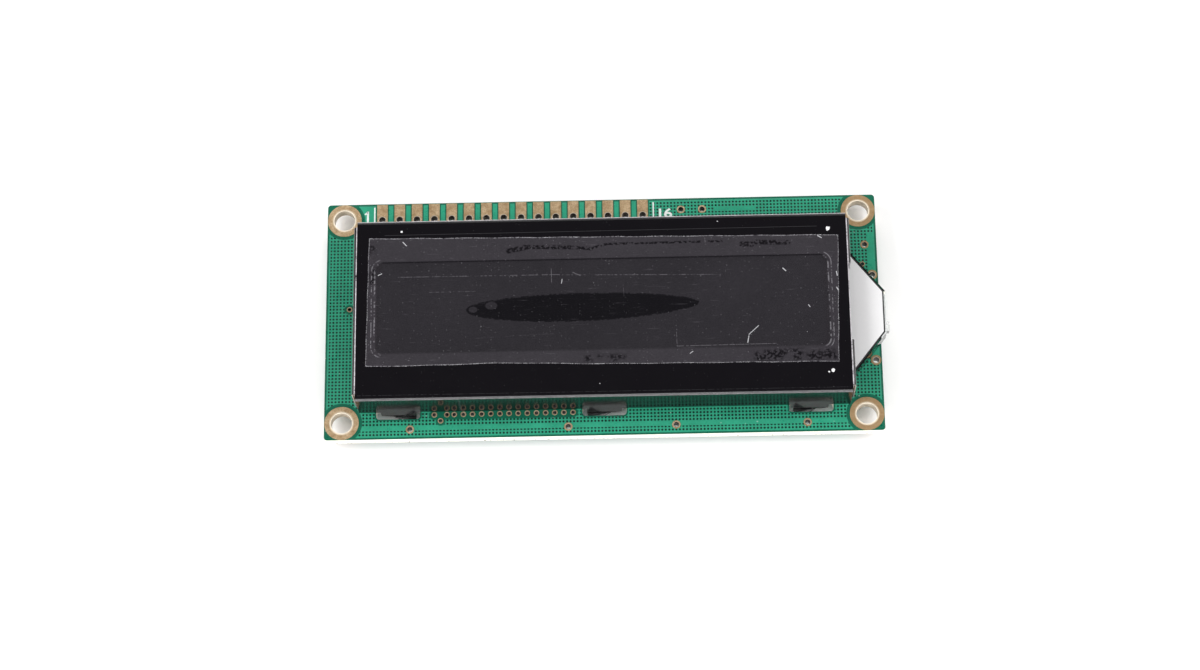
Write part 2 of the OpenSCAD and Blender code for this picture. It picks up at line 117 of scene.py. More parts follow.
boardLow, boardHigh = nodeBox("circuit_board")
bezelPoints = meshPoints("bezel")
bezelPoints = bezelPoints[bezelPoints[:, 2] > 1]       # its walls and top, without the tabs
bezelLow, bezelHigh = bezelPoints.min(0), bezelPoints.max(0)
boardTop = boardHigh[2]
boardBack = boardLow[2]
copper = nodeBox("pin_pads")[1][2] - boardTop          # height of the plated rings
mountCentres, mountRadii = frontCentres("mounting_rings")
viaCentres, viaRadii = frontCentres("via_rings")
lampPadCentres, lampPadRadii = frontCentres("backlight_pads")
pinMounts = [m for m in record["mounts"] if m["name"].startswith("pin_hole")]
pinCentres = np.array([m["pos_m"][:2] for m in pinMounts]) / mm
print("places read:", len(viaCentres), "vias,", len(pinCentres), "pin holes")


# ---- meshes

def gridFaces(rows, columns, closeRows=False, closeColumns=False):
    # quads between neighbouring points of a rows x columns grid
    r = np.arange(rows if closeRows else rows - 1)
    c = np.arange(columns if closeColumns else columns - 1)
    r, c = np.meshgrid(r, c, indexing="ij")
    rNext = (r + 1) % rows
    cNext = (c + 1) % columns
    quads = [r * columns + c, rNext * columns + c, rNext * columns + cNext, r * columns + cNext]
    return np.stack(quads, -1).reshape(-1, 4)


def facingOut(points, faces):
    # A closed shell whose faces point outwards has a positive volume by the sum of
    # first corner . (second corner x third corner).
    a, b, c = points[faces[:, 0]], points[faces[:, 1]], points[faces[:, 2]]
    volume = np.einsum("ij,ij->", a, np.cross(b, c))
    if faces.shape[1] == 4:
        volume += np.einsum("ij,ij->", a, np.cross(c, points[faces[:, 3]]))
    return faces if volume > 0 else faces[:, ::-1]


def addPiece(name, points, faces, material, smooth=False, closed=True):
    # points in millimetres; the finished object sits at the origin
    points = np.asarray(points, float).reshape(-1, 3)
    faces = np.asarray(faces)
    if closed:
        faces = facingOut(points, faces)
    mesh = bpy.data.meshes.new(name)
    mesh.from_pydata((points * mm).tolist(), [], faces.tolist())
    mesh.polygons.foreach_set("use_smooth", np.full(len(mesh.polygons), smooth))
    mesh.materials.append(material)
    mesh.update()
    piece = bpy.data.objects.new(name, mesh)
    scene.collection.objects.link(piece)
    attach(piece, "root")
    return piece


def joined(parts):
    # one array of points and one of faces from several [points, faces]
    points, faces, start = [], [], 0
    for p, f in parts:
        points.append(np.asarray(p, float).reshape(-1, 3))
        faces.append(np.asarray(f) + start)
        start += len(points[-1])
    return np.concatenate(points), np.concatenate(faces)


def turnedRings(centres, loops, segments):
    # Each ring is a closed profile of (radius, height) turned about a vertical line:
    # x = centre x + radius cos a, y = centre y + radius sin a, z = height.
    turn = np.linspace(0, 2 * math.pi, segments, endpoint=False)
    parts = []
    for centre, loop in zip(centres, loops):
        radius, height = np.asarray(loop, float).T
        x = centre[0] + radius * np.cos(turn)[:, None]
        y = centre[1] + radius * np.sin(turn)[:, None]
        z = np.broadcast_to(height, x.shape)
        parts.append([np.stack([x, y, z], -1), gridFaces(segments, len(radius), True, True)])
    return joined(parts)


def ribbon(path, width, low, high):
    # A flat strip along a path: each point moves sideways by half the width along the mean of
    # its two neighbours' normals, stretched at a bend, and the strip stands from low to high.
    path = np.asarray(path, float)
    step = np.diff(path, axis=0)
    step /= np.linalg.norm(step, axis=1)[:, None]
    side = np.stack([-step[:, 1], step[:, 0]], 1)
    before = np.vstack([side[:1], side])
    after = np.vstack([side, side[-1:]])
    mitre = before + after
    mitre /= np.linalg.norm(mitre, axis=1)[:, None]
    mitre *= (width / 2 / np.einsum("ij,ij->i", mitre, before))[:, None]
    left, right = path + mitre, path - mitre
    tall = np.ones((len(path), 1))
    corners = [np.hstack([left, tall * low]), np.hstack([right, tall * low]),
               np.hstack([right, tall * high]), np.hstack([left, tall * high])]
    points = np.stack(corners, 1)
    last = 4 * (len(path) - 1)
    ends = np.array([[3, 2, 1, 0], [last, last + 1, last + 2, last + 3]])
    return points, np.vstack([gridFaces(len(path), 4, False, True), ends])


def ringLine(centre, radius, width, low, high, segments=72):
    # closed profile of a flat painted ring
    loop = [(radius - width / 2, low), (radius + width / 2, low),
            (radius + width / 2, high), (radius - width / 2, high)]
    return turnedRings([centre], [loop], segments)


# ---- shader helpers

def addNode(tree, kind, values=None, **settings):
    node = tree.nodes.new(kind)
    for name, value in settings.items():
        setattr(node, name, value)
    for name, value in (values or {}).items():
        setInput(tree, node.inputs[name], value)
    return node


def setInput(tree, socket, value):
    if isinstance(value, bpy.types.NodeSocket):
        tree.links.new(value, socket)
    else:
        socket.default_value = value


def calc(tree, operation, first, second=0.0, third=0.0, clamp=False):
    node = addNode(tree, "ShaderNodeMath", operation=operation, use_clamp=clamp)
    for place, value in enumerate((first, second, third)):
        setInput(tree, node.inputs[place], value)
    return node.outputs[0]


def vectorCalc(tree, operation, first, second=(0.0, 0.0, 0.0)):
    node = addNode(tree, "ShaderNodeVectorMath", operation=operation)
    setInput(tree, node.inputs[0], first)
    setInput(tree, node.inputs[1], second)
    return node.outputs["Value" if operation in ("LENGTH", "DOT_PRODUCT") else "Vector"]


def blend(tree, factor, first, second):
    # colour between first (factor 0) and second (factor 1)
    node = addNode(tree, "ShaderNodeMix", data_type="RGBA")
    setInput(tree, node.inputs[0], factor)
    for place, value in ((6, first), (7, second)):
        if isinstance(value, tuple) and len(value) == 3:
            value = value + (1.0,)
        setInput(tree, node.inputs[place], value)
    return node.outputs[2]


def rise(tree, value, low, high):
    # smooth step from 0 at low to 1 at high
    values = {"Value": value, "From Min": low, "From Max": high}
    return addNode(tree, "ShaderNodeMapRange", values, interpolation_type="SMOOTHSTEP").outputs[0]


def span(tree, value, low, high, toLow, toHigh):
    values = {"Value": value, "From Min": low, "From Max": high, "To Min": toLow, "To Max": toHigh}
    return addNode(tree, "ShaderNodeMapRange", values).outputs[0]


def highest(tree, masks):
    result = masks[0]
    for mask in masks[1:]:
        result = calc(tree, "MAXIMUM", result, mask)
    return result


def inverse(tree, mask):
    return calc(tree, "SUBTRACT", 1.0, mask, clamp=True)


def product(tree, *values):
    result = values[0]
    for value in values[1:]:
        result = calc(tree, "MULTIPLY", result, value)
    return result


def noise(tree, place, scale, detail=2.0, roughness=0.5, distortion=0.0):
    values = {"Vector": place, "Scale": scale, "Detail": detail,
              "Roughness": roughness, "Distortion": distortion}
    return addNode(tree, "ShaderNodeTexNoise", values).outputs["Fac"]


def makeGroup(name, inputs, outputs, build):
    # inputs and outputs are (name, socket type, value); build(tree, given, results) fills it
    tree = bpy.data.node_groups.new(name, "ShaderNodeTree")
    for label, kind, value in inputs:
        socket = tree.interface.new_socket(label, in_out="INPUT", socket_type=kind)
        if value is not None:
            socket.default_value = value
    for label in outputs:
        tree.interface.new_socket(label, in_out="OUTPUT", socket_type="NodeSocketFloat")
    given = tree.nodes.new("NodeGroupInput").outputs
    results = build(tree, given)
    end = tree.nodes.new("NodeGroupOutput")
    for label, socket in results.items():
        tree.links.new(socket, end.inputs[label])
    return tree


def useGroup(tree, group, output, values):
    node = addNode(tree, "ShaderNodeGroup", node_tree=group)
    for name, value in values.items():
        setInput(tree, node.inputs[name], value)
    return node.outputs[output]


number, vector = "NodeSocketFloat", "NodeSocketVector"


def buildDisc(tree, given):
    # 1 within the radius of the centre, seen along z, and 0 outside it
    away = vectorCalc(tree, "SUBTRACT", given["Place"], given["Centre"])
    away = vectorCalc(tree, "LENGTH", vectorCalc(tree, "MULTIPLY", away, (1.0, 1.0, 0.0)))
    inner = calc(tree, "SUBTRACT", given["Radius"], given["Soft"])
    outer = calc(tree, "ADD", given["Radius"], given["Soft"])
    return {"Mask": inverse(tree, rise(tree, away, inner, outer))}


discMask = makeGroup("disc", [("Place", vector, None), ("Centre", vector, None),
                              ("Radius", number, 1.0), ("Soft", number, 0.03)], ["Mask"], buildDisc)


def buildPanel(tree, given):
    # 1 inside a rectangle with rounded corners, by the distance from its outline
    away = vectorCalc(tree, "SUBTRACT", given["Place"], given["Centre"])
    away = vectorCalc(tree, "ABSOLUTE", away)
    away = vectorCalc(tree, "SUBTRACT", away, given["Half size"])
    parts = addNode(tree, "ShaderNodeSeparateXYZ", {"Vector": away}).outputs
    x = calc(tree, "ADD", parts["X"], given["Corner"])
    y = calc(tree, "ADD", parts["Y"], given["Corner"])
    xOut = calc(tree, "MAXIMUM", x, 0.0)
    yOut = calc(tree, "MAXIMUM", y, 0.0)
    reach = calc(tree, "SQRT", calc(tree, "ADD", product(tree, xOut, xOut), product(tree, yOut, yOut)))
    within = calc(tree, "MINIMUM", calc(tree, "MAXIMUM", x, y), 0.0)
    distance = calc(tree, "SUBTRACT", calc(tree, "ADD", reach, within), given["Corner"])
    low = calc(tree, "MULTIPLY", given["Soft"], -1.0)
    return {"Mask": inverse(tree, rise(tree, distance, low, given["Soft"])), "Distance": distance}


panelMask = makeGroup("panel", [("Place", vector, None), ("Centre", vector, None),
                                ("Half size", vector, None), ("Corner", number, 0.5),
                                ("Soft", number, 0.03)], ["Mask", "Distance"], buildPanel)


def buildLine(tree, given):
    # 1 along a straight line from start to end, broken up by noise: scratches, streaks and painted
    # reflection lines
    along = vectorCalc(tree, "SUBTRACT", given["End"], given["Start"])
    away = vectorCalc(tree, "SUBTRACT", given["Place"], given["Start"])
    away = vectorCalc(tree, "MULTIPLY", away, (1.0, 1.0, 0.0))
    share = calc(tree, "DIVIDE", vectorCalc(tree, "DOT_PRODUCT", away, along),
                 vectorCalc(tree, "DOT_PRODUCT", along, along), clamp=True)
    scaled = addNode(tree, "ShaderNodeVectorMath", {"Vector": along, "Scale": share},
                     operation="SCALE").outputs["Vector"]
    gap = vectorCalc(tree, "LENGTH", vectorCalc(tree, "SUBTRACT", away, scaled))
    half = calc(tree, "MULTIPLY", given["Width"], 0.5)
    mask = inverse(tree, rise(tree, gap, calc(tree, "MULTIPLY", half, 0.5), half))
    broken = noise(tree, given["Place"], 3.1, 3.0, 0.7)
    start = calc(tree, "ADD", calc(tree, "MULTIPLY", given["Breaks"], 0.4), 0.27)
    broken = rise(tree, broken, start, calc(tree, "ADD", start, 0.08))
    return {"Mask": product(tree, mask, broken)}


scratchLine = makeGroup("scratch line", [("Place", vector, None), ("Start", vector, None),
                                         ("End", vector, None), ("Width", number, 0.1),
                                         ("Breaks", number, 0.3)], ["Mask"], buildLine)


def buildSpecks(tree, given):
    # small spots in a share of the cells of a Voronoi pattern, each of its own size
    cells = addNode(tree, "ShaderNodeTexVoronoi", voronoi_dimensions="2D")
    setInput(tree, cells.inputs["Vector"], given["Place"])
    setInput(tree, cells.inputs["Scale"], given["Scale"])
    random = addNode(tree, "ShaderNodeSeparateColor", {"Color": cells.outputs["Color"]}).outputs
    size = product(tree, given["Size"], span(tree, random["Green"], 0.0, 1.0, 0.35, 1.0))
    shape = calc(tree, "ADD", cells.outputs["Distance"],
                 product(tree, noise(tree, given["Place"], 9.0, 1.0), 0.08))
    spot = inverse(tree, rise(tree, shape, product(tree, size, 0.7), size))
    chosen = calc(tree, "LESS_THAN", random["Red"], given["Share"])
    tone = span(tree, random["Blue"], 0.0, 1.0, 0.3, 1.0)
    return {"Mask": product(tree, spot, chosen), "Tone": product(tree, spot, chosen, tone)}


specks = makeGroup("specks", [("Place", vector, None), ("Scale", number, 1.0),
                              ("Size", number, 0.1), ("Share", number, 0.3)],
                   ["Mask", "Tone"], buildSpecks)


def buildDots(tree, given):
    # round dots on a square grid
    cell = vectorCalc(tree, "DIVIDE", given["Place"], given["Pitch"])
    cell = vectorCalc(tree, "FRACTION", cell)
    cell = vectorCalc(tree, "SUBTRACT", cell, (0.5, 0.5, 0.5))
    cell = vectorCalc(tree, "MULTIPLY", cell, given["Pitch"])
    away = vectorCalc(tree, "LENGTH", vectorCalc(tree, "MULTIPLY", cell, (1.0, 1.0, 0.0)))
    inner = calc(tree, "MULTIPLY", given["Radius"], 0.8)
    outer = calc(tree, "MULTIPLY", given["Radius"], 1.2)
    return {"Mask": inverse(tree, rise(tree, away, inner, outer))}


dotGrid = makeGroup("dot grid", [("Place", vector, None), ("Pitch", vector, (0.5, 0.5, 0.5)),
                                 ("Radius", number, 0.1)], ["Mask"], buildDots)


def buildMottle(tree, given):
    # slow and fine noise together, from Low to High
    slow = noise(tree, given["Place"], given["Scale"], 3.0, 0.6)
    fine = noise(tree, given["Place"], calc(tree, "MULTIPLY", given["Scale"], 9.0), 2.0)
    both = calc(tree, "ADD", product(tree, slow, 0.65), product(tree, fine, 0.35))
    values = {"Value": both, "From Min": 0.3, "From Max": 0.7,
              "To Min": given["Low"], "To Max": given["High"]}
    return {"Value": addNode(tree, "ShaderNodeMapRange", values).outputs[0]}


mottle = makeGroup("mottle", [("Place", vector, None), ("Scale", number, 1.0),
                              ("Low", number, 0.0), ("High", number, 1.0)],
                   ["Value"], buildMottle)
print("node groups made")


def startMaterial(name):
    # tree, the object's coordinates in millimetres, and an empty Principled shader
    material = bpy.data.materials.new(name)
    material.use_nodes = True
    tree = material.node_tree
    shader = tree.nodes["Principled BSDF"]
    coordinates = addNode(tree, "ShaderNodeTexCoord").outputs["Object"]
    place = vectorCalc(tree, "MULTIPLY", coordinates, (1000.0, 1000.0, 1000.0))
    return material, tree, shader, place


inputNames = {"baseColor": "Base Color", "metallic": "Metallic", "roughness": "Roughness",
              "ior": "IOR", "alpha": "Alpha", "specular": "Specular IOR Level",
              "coatWeight": "Coat Weight", "coatRoughness": "Coat Roughness",
              "transmission": "Transmission Weight"}


def setShader(tree, shader, **values):
    for name, value in values.items():
        if isinstance(value, tuple) and len(value) == 3:
            value = value + (1.0,)
        setInput(tree, shader.inputs[inputNames[name]], value)


def giveBump(tree, shader, height, distance, strength=1.0):
    # height runs from 0 to 1, distance is in millimetres
    values = {"Strength": strength, "Distance": distance * mm, "Height": height}
    bump = addNode(tree, "ShaderNodeBump", values)
    tree.links.new(bump.outputs["Normal"], shader.inputs["Normal"])


def disc(tree, place, x, y, radius, soft=0.04):
    return useGroup(tree, discMask, "Mask", {"Place": place, "Centre": (x, y, 0.0),
                                             "Radius": radius, "Soft": soft})


def panel(tree, place, low, high, corner=0.1, soft=0.04, output="Mask"):
    centre = ((low[0] + high[0]) / 2, (low[1] + high[1]) / 2, 0.0)
    half = ((high[0] - low[0]) / 2, (high[1] - low[1]) / 2, 1000.0)
    return useGroup(tree, panelMask, output, {"Place": place, "Centre": centre, "Half size": half,
                                              "Corner": corner, "Soft": soft})


def scratch(tree, place, start, end, width=0.1, breaks=0.4):
    return useGroup(tree, scratchLine, "Mask", {"Place": place, "Start": start + (0.0,),
                                                "End": end + (0.0,), "Width": width,
                                                "Breaks": breaks})


def dust(tree, place, scale, size, share, output="Tone"):
    return useGroup(tree, specks, output, {"Place": place, "Scale": scale, "Size": size,
                                           "Share": share})


def cloud(tree, place, scale, low=0.0, high=1.0):
    return useGroup(tree, mottle, "Value", {"Place": place, "Scale": scale,
                                            "Low": low, "High": high})


# ---- camera

cameraSet = {"target": (-0.347, -3.927, 3.0), "distance": 396.84, "elevation": 71.10,
             "azimuth": 2.44, "roll": -3.425, "lens": 83.28}


def placeCamera(values):
    # the camera looks at the target from the front and above, then rolls about its own axis
    tilt = Matrix.Rotation(math.radians(90 - values["elevation"]), 4, "X")
    swing = Matrix.Rotation(math.radians(values["azimuth"]), 4, "Z")
    roll = Matrix.Rotation(math.radians(values["roll"]), 4, "Z")
    data = bpy.data.cameras.new("camera")
    data.lens = values["lens"]
    data.sensor_width = 36.0
    data.clip_start = 0.01
    camera = bpy.data.objects.new("camera", data)
    scene.collection.objects.link(camera)
    turn = swing @ tilt @ roll
    target = Vector(values["target"]) * mm
    back = turn @ Vector((0, 0, values["distance"] * mm))
    camera.matrix_world = Matrix.Translation(target + back) @ turn
    scene.camera = camera


placeCamera(cameraSet)


# ---- light: soft boxes round the table, none where the flat faces mirror the camera

lightBoxes = {
    "back": {"place": (0.05, 0.90, 0.45), "size": (1.4, 0.40), "radiance": 3.6},
    "left": {"place": (-0.85, -0.1, 0.65), "size": (0.9, 0.6), "radiance": 5.9},
    "right": {"place": (0.85, 0.0, 0.65), "size": (0.9, 0.6), "radiance": 5.2},
    "front": {"place": (0.0, -0.95, 0.36), "size": (1.3, 0.45), "radiance": 6.0},
}
skyStrength = 0.10


def addLight(name, values):
    # power = radiance x pi x area, and the box faces the object
    data = bpy.data.lights.new(name + " box", "AREA")
    data.shape = "RECTANGLE"
    data.size, data.size_y = values["size"]
    data.energy = values["radiance"] * math.pi * data.size * data.size_y
    light = bpy.data.objects.new(name + " box", data)
    scene.collection.objects.link(light)
    light.location = values["place"]
    light.rotation_euler = (-Vector(values["place"])).to_track_quat("-Z", "Y").to_euler()


for name, values in lightBoxes.items():
    addLight(name, values)
world = bpy.data.worlds.new("room")
world.use_nodes = True
world.node_tree.nodes["Background"].inputs["Color"].default_value = (1.0, 0.99, 0.98, 1.0)
world.node_tree.nodes["Background"].inputs["Strength"].default_value = skyStrength
scene.world = world
print("camera and light placed")


# ---- floor

def makePaper():
    material, tree, shader, place = startMaterial("pale table")
    tone = cloud(tree, place, 0.004, 0.0, 1.0)
    setShader(tree, shader, baseColor=blend(tree, tone, (0.93, 0.93, 0.935), (0.97, 0.965, 0.97)))
    setShader(tree, shader, roughness=0.6, specular=0.2)
    giveBump(tree, shader, noise(tree, place, 2.0, 3.0), 0.01)
    return material


def addFloor(size=3.0):
    # a flat grid under the lowest point of the object
    step = np.linspace(-size / 2, size / 2, 13) / mm
    x, y = np.meshgrid(step, step, indexing="ij")
    z = np.full(x.shape, cadBox[0][2] / mm)
    mesh = bpy.data.meshes.new("table")
    points = np.stack([x, y, z], -1).reshape(-1, 3) * mm
    mesh.from_pydata(points.tolist(), [], gridFaces(13, 13).tolist())
    mesh.materials.append(makePaper())
    floor = bpy.data.objects.new("table", mesh)
    scene.collection.objects.link(floor)


addFloor()


# ---- circuit board: green lacquer over copper, hatched where the ground is open

boardLook = {"lacquerOverCopper": (0.028, 0.32, 0.19), "lacquerOverGlass": (0.004, 0.115, 0.066),
             "openDot": (0.0006, 0.016, 0.011), "glassEdge": (0.90, 0.88, 0.78),
             "dotPitch": 0.502, "dotRadius": 0.16, "dotRim": 0.5, "bareRim": 0.3,
             "mountGap": 0.5, "padGap": 0.18, "rowGap": 0.72, "groupGap": 0.7, "leftGap": 0.75,
             "slotShift": 0.275, "slotXs": (-29.4, 0.1, 29.6), "slotHalf": (3.35, 0.95)}
# lower left and upper right corner of the front's bands without dots, beside the pin row's own
plainBands = [((-50, -16.75), (50, -16.05), 0.05), ((16.5, 15.9), (22.5, 16.6), 0.1),
              ((36.3, -1.2), (45, 3.8), 0.2), ((38.6, -7), (45, 12), 0.1),
              ((-50, 13.2), (-33.5, 30), 0.1)]
slotCentres = [(x, y) for x in boardLook["slotXs"]
               for y in (bezelLow[1] - boardLook["slotShift"], bezelHigh[1] + boardLook["slotShift"])]


def frontArt(tree, place):
    # mask of the copper under the lacquer on the front: everything but the gaps and the dots
    look = boardLook
    parts = addNode(tree, "ShaderNodeSeparateXYZ", {"Vector": place}).outputs
    rim = look["bareRim"]
    copperField = panel(tree, place, boardLow + rim, boardHigh - rim, 0.4, 0.03)
    gaps = [disc(tree, place, x, y, r + look["mountGap"])
            for (x, y), r in zip(mountCentres, mountRadii)]
    row = viaCentres[np.abs(viaCentres[:, 1] - np.median(viaCentres[:, 1])) < 0.02]
    group = viaCentres[np.argmin(np.hypot(viaCentres[:, 0] - row[:, 0].min() - 0.9,
                                          viaCentres[:, 1] - row[0, 1] + 0.9))]
    left = viaCentres[np.argmin(viaCentres[:, 0])]
    gaps.append(rowBand(tree, place, (row[:, 0].min(), row[0, 1]), (row[:, 0].max(), row[0, 1]),
                        look["rowGap"]))
    gaps.append(disc(tree, place, group[0], group[1], look["groupGap"]))
    gaps.append(disc(tree, place, left[0], left[1], look["leftGap"]))
    wide, deep = look["slotHalf"]
    gaps += [panel(tree, place, (x - wide, y - deep), (x + wide, y + deep), 0.6)
             for x, y in slotCentres]
    # pin pads: the distance from the nearest pad's middle line, folded along the row
    pitch = pinCentres[1, 0] - pinCentres[0, 0]
    fold = calc(tree, "DIVIDE", calc(tree, "SUBTRACT", parts["X"], pinCentres[0, 0]), pitch)
    fold = calc(tree, "SUBTRACT", calc(tree, "FRACT", calc(tree, "ADD", fold, 0.5)), 0.5)
    fold = product(tree, calc(tree, "ABSOLUTE", fold), pitch)
    padLow, padHigh = nodeBox("pin_pads")
    halfPad = (padHigh[0] - padLow[0] - 15 * pitch) / 2 + look["padGap"]
    beside = inverse(tree, rise(tree, fold, halfPad - 0.03, halfPad + 0.03))
    rowZone = panel(tree, place, (padLow[0] - 0.25, padLow[1] - 0.3), (padHigh[0] + 0.25, 30), 0.1)
    gaps.append(product(tree, beside, rowZone))
    gap = highest(tree, gaps)
    # dots of bare laminate, none close to a gap or in the plain bands
    dots = useGroup(tree, dotGrid, "Mask", {"Place": place, "Radius": look["dotRadius"],
                                            "Pitch": (look["dotPitch"],) * 3})
    plain = [panel(tree, place, low, high, corner) for low, high, corner in plainBands]
    plain.append(panel(tree, place, (padLow[0] - 1.2, 13), (padHigh[0] + 0.2, 30), 0.05))
    wide = panel(tree, place, boardLow + look["dotRim"], boardHigh - look["dotRim"], 0.4, 0.02)
    away = inverse(tree, highest(tree, plain + [gap]))
    dots = product(tree, dots, wide, away)
    return product(tree, copperField, inverse(tree, gap)), dots


def rowBand(tree, place, start, end, radius):
    # a rounded band round a row of vias
    low = (min(start[0], end[0]) - radius, min(start[1], end[1]) - radius)
    high = (max(start[0], end[0]) + radius, max(start[1], end[1]) + radius)
    return panel(tree, place, low, high, radius)


backLook = {"rim": 0.4, "border": 1.5, "groundLow": (24.8, -17), "groundHigh": (39, 14),
            "dotPitch": 0.6, "dotRadius": 0.16, "mountGap": 0.5}


def backArt(tree, place):
    # the back has a plain copper border and open laminate inside it, under the tracks
    look = backLook
    outer = panel(tree, place, boardLow + look["rim"], boardHigh - look["rim"], 0.4, 0.03)
    inner = panel(tree, place, boardLow + look["border"], boardHigh - look["border"], 0.6, 0.03)
    ground = panel(tree, place, look["groundLow"], look["groundHigh"], 0.4)
    dots = useGroup(tree, dotGrid, "Mask", {"Place": place, "Radius": look["dotRadius"],
                                            "Pitch": (look["dotPitch"],) * 3})
    copperField = highest(tree, [inverse(tree, inner), ground])
    gaps = [disc(tree, place, x, y, r + look["mountGap"])
            for (x, y), r in zip(mountCentres, mountRadii)]
    covered = product(tree, outer, copperField, inverse(tree, highest(tree, gaps)))
    return covered, product(tree, dots, ground)


def makeBoard():
    material, tree, shader, place = startMaterial("green lacquered board")
    look = boardLook
    parts = addNode(tree, "ShaderNodeSeparateXYZ", {"Vector": place}).outputs
    up = addNode(tree, "ShaderNodeSeparateXYZ",
                 {"Vector": addNode(tree, "ShaderNodeNewGeometry").outputs["Normal"]}).outputs["Z"]
    front = calc(tree, "GREATER_THAN", parts["Z"], (boardTop + boardBack) / 2)
    face = calc(tree, "GREATER_THAN", calc(tree, "ABSOLUTE", up), 0.5)
    frontCopper, frontDots = frontArt(tree, place)
    backCopper, backDots = backArt(tree, place)
    art = addNode(tree, "ShaderNodeMix", {0: front, 2: backCopper, 3: frontCopper}).outputs[0]
    dots = addNode(tree, "ShaderNodeMix", {0: front, 2: backDots, 3: frontDots}).outputs[0]
    tone = cloud(tree, place, 0.35, 0.82, 1.16)
    green = blend(tree, art, look["lacquerOverGlass"], look["lacquerOverCopper"])
    green = blend(tree, dots, green, look["openDot"])
    art = product(tree, art, inverse(tree, dots))
    green = vectorCalc(tree, "MULTIPLY", green, addNode(
        tree, "ShaderNodeCombineXYZ", {"X": tone, "Y": tone, "Z": tone}).outputs[0])
    lint = dust(tree, place, 0.55, 0.11, 0.28)
    green = blend(tree, product(tree, lint, 0.5), green, (0.7, 0.8, 0.74))
    # the sawn edge shows layers of glass cloth, with dark brown spots towards its lower edge
    layers = noise(tree, vectorCalc(tree, "MULTIPLY", place, (1.2, 1.2, 14.0)), 1.0, 4.0, 0.7)
    cloth = blend(tree, rise(tree, layers, 0.45, 0.75), look["glassEdge"], (0.62, 0.58, 0.44))
    coarse = vectorCalc(tree, "MULTIPLY", place, (2.6, 2.6, 1.5))
    lowerDarkSpots = rise(tree, noise(tree, coarse, 1.0, 3.0, 0.7), 0.56, 0.66)
    foot = inverse(tree, rise(tree, parts["Z"], boardBack + 0.25, boardBack + 0.75))
    cloth = blend(tree, product(tree, lowerDarkSpots, foot), cloth, (0.10, 0.085, 0.06))
    setShader(tree, shader, baseColor=blend(tree, face, cloth, green))
    rough = addNode(tree, "ShaderNodeMix", {0: face, 2: 0.75, 3: cloud(tree, place, 0.8, 0.24, 0.36)})
    setShader(tree, shader, roughness=rough.outputs[0], coatWeight=product(tree, face, 0.35))
    setShader(tree, shader, coatRoughness=0.12)
    height = calc(tree, "ADD", product(tree, art, 0.8), product(tree, cloud(tree, place, 1.5), 0.2))
    giveBump(tree, shader, height, 0.02)
    return material


# ---- plated copper

# lip is a painted highlight, the colour of the lit lip round the holes
goldLook = {"bright": (0.64, 0.48, 0.30), "dull": (0.36, 0.23, 0.11), "lip": (0.95, 0.86, 0.70)}


def makeGold():
    material, tree, shader, place = startMaterial("gold flash over copper")
    look = goldLook
    tone = cloud(tree, place, 0.9)
    colour = blend(tree, rise(tree, tone, 0.1, 0.95), look["bright"], look["dull"])
    grain = rise(tree, noise(tree, place, 3.4, 3.0, 0.7), 0.44, 0.66)
    colour = blend(tree, product(tree, grain, 0.55), colour, look["dull"])
    # the rings at the right end are browner
    across = addNode(tree, "ShaderNodeSeparateXYZ", {"Vector": place}).outputs["X"]
    colour = blend(tree, product(tree, rise(tree, across, 22.0, 35.0), 0.7), colour, look["dull"])
    # painted highlight round the inner edge of each mounting ring
    rings = [useGroup(tree, discMask, "Mask", {"Place": place, "Centre": (x, y, 0.0),
                                               "Radius": r - 0.72, "Soft": 0.1})
             for (x, y), r in zip(mountCentres, mountRadii)]
    colour = blend(tree, product(tree, highest(tree, rings), 0.6), colour, look["lip"])
    stain = dust(tree, place, 1.6, 0.2, 0.3)
    colour = blend(tree, product(tree, stain, 0.6), colour, (0.20, 0.13, 0.08))
    setShader(tree, shader, baseColor=colour, metallic=0.55)
    setShader(tree, shader, roughness=cloud(tree, place, 2.0, 0.38, 0.6))
    giveBump(tree, shader, cloud(tree, place, 3.0), 0.02)
    return material


def makeBarrelMetal(name, light, deep, lipHighlightShare):
    # plating down the holes: a painted highlight in the lip colour at the lip, below it a tone between
    # light and deep
    material, tree, shader, place = startMaterial(name)
    depth = addNode(tree, "ShaderNodeSeparateXYZ", {"Vector": place}).outputs["Z"]
    middle = (boardTop + boardBack) / 2
    reach = calc(tree, "ABSOLUTE", calc(tree, "SUBTRACT", depth, middle))
    half = (boardTop - boardBack) / 2
    lip = product(tree, rise(tree, reach, half, half + 0.05), lipHighlightShare)
    tone = cloud(tree, place, 2.5)
    brown = blend(tree, tone, light, deep)
    setShader(tree, shader, baseColor=blend(tree, lip, brown, goldLook["lip"]), metallic=0.3)
    setShader(tree, shader, roughness=cloud(tree, place, 2.0, 0.28, 0.5))
    giveBump(tree, shader, tone, 0.02)
    return material


barrelSet = {"wall": 0.03, "lip": 0.05, "viaLipShare": 0.4, "mountRadius": 1.55, "pinRadius": 0.5,
             "lampPadRing": 0.3, "bigViaFrom": 0.45, "bigViaRing": 0.18, "smallViaRing": 0.1}


def barrelLoop(radius, lip, wall):
    # Profile of a plated hole: straight down the wall and turned over a round lip at both faces.
    # radius(a) = hole + lip (1 - cos a), height(a) = face + lip sin a for a quarter turn and back.
    turn = np.linspace(0, math.pi, 7)
    top = boardTop + copper - 0.02
    bottom = boardBack - copper + 0.02
    r = radius - wall + lip * (1 - np.cos(turn))
    upper = np.stack([r, top + lip * np.sin(turn)], 1)
    lower = np.stack([r, bottom - lip * np.sin(turn)], 1)[::-1]
    return np.vstack([upper, lower])


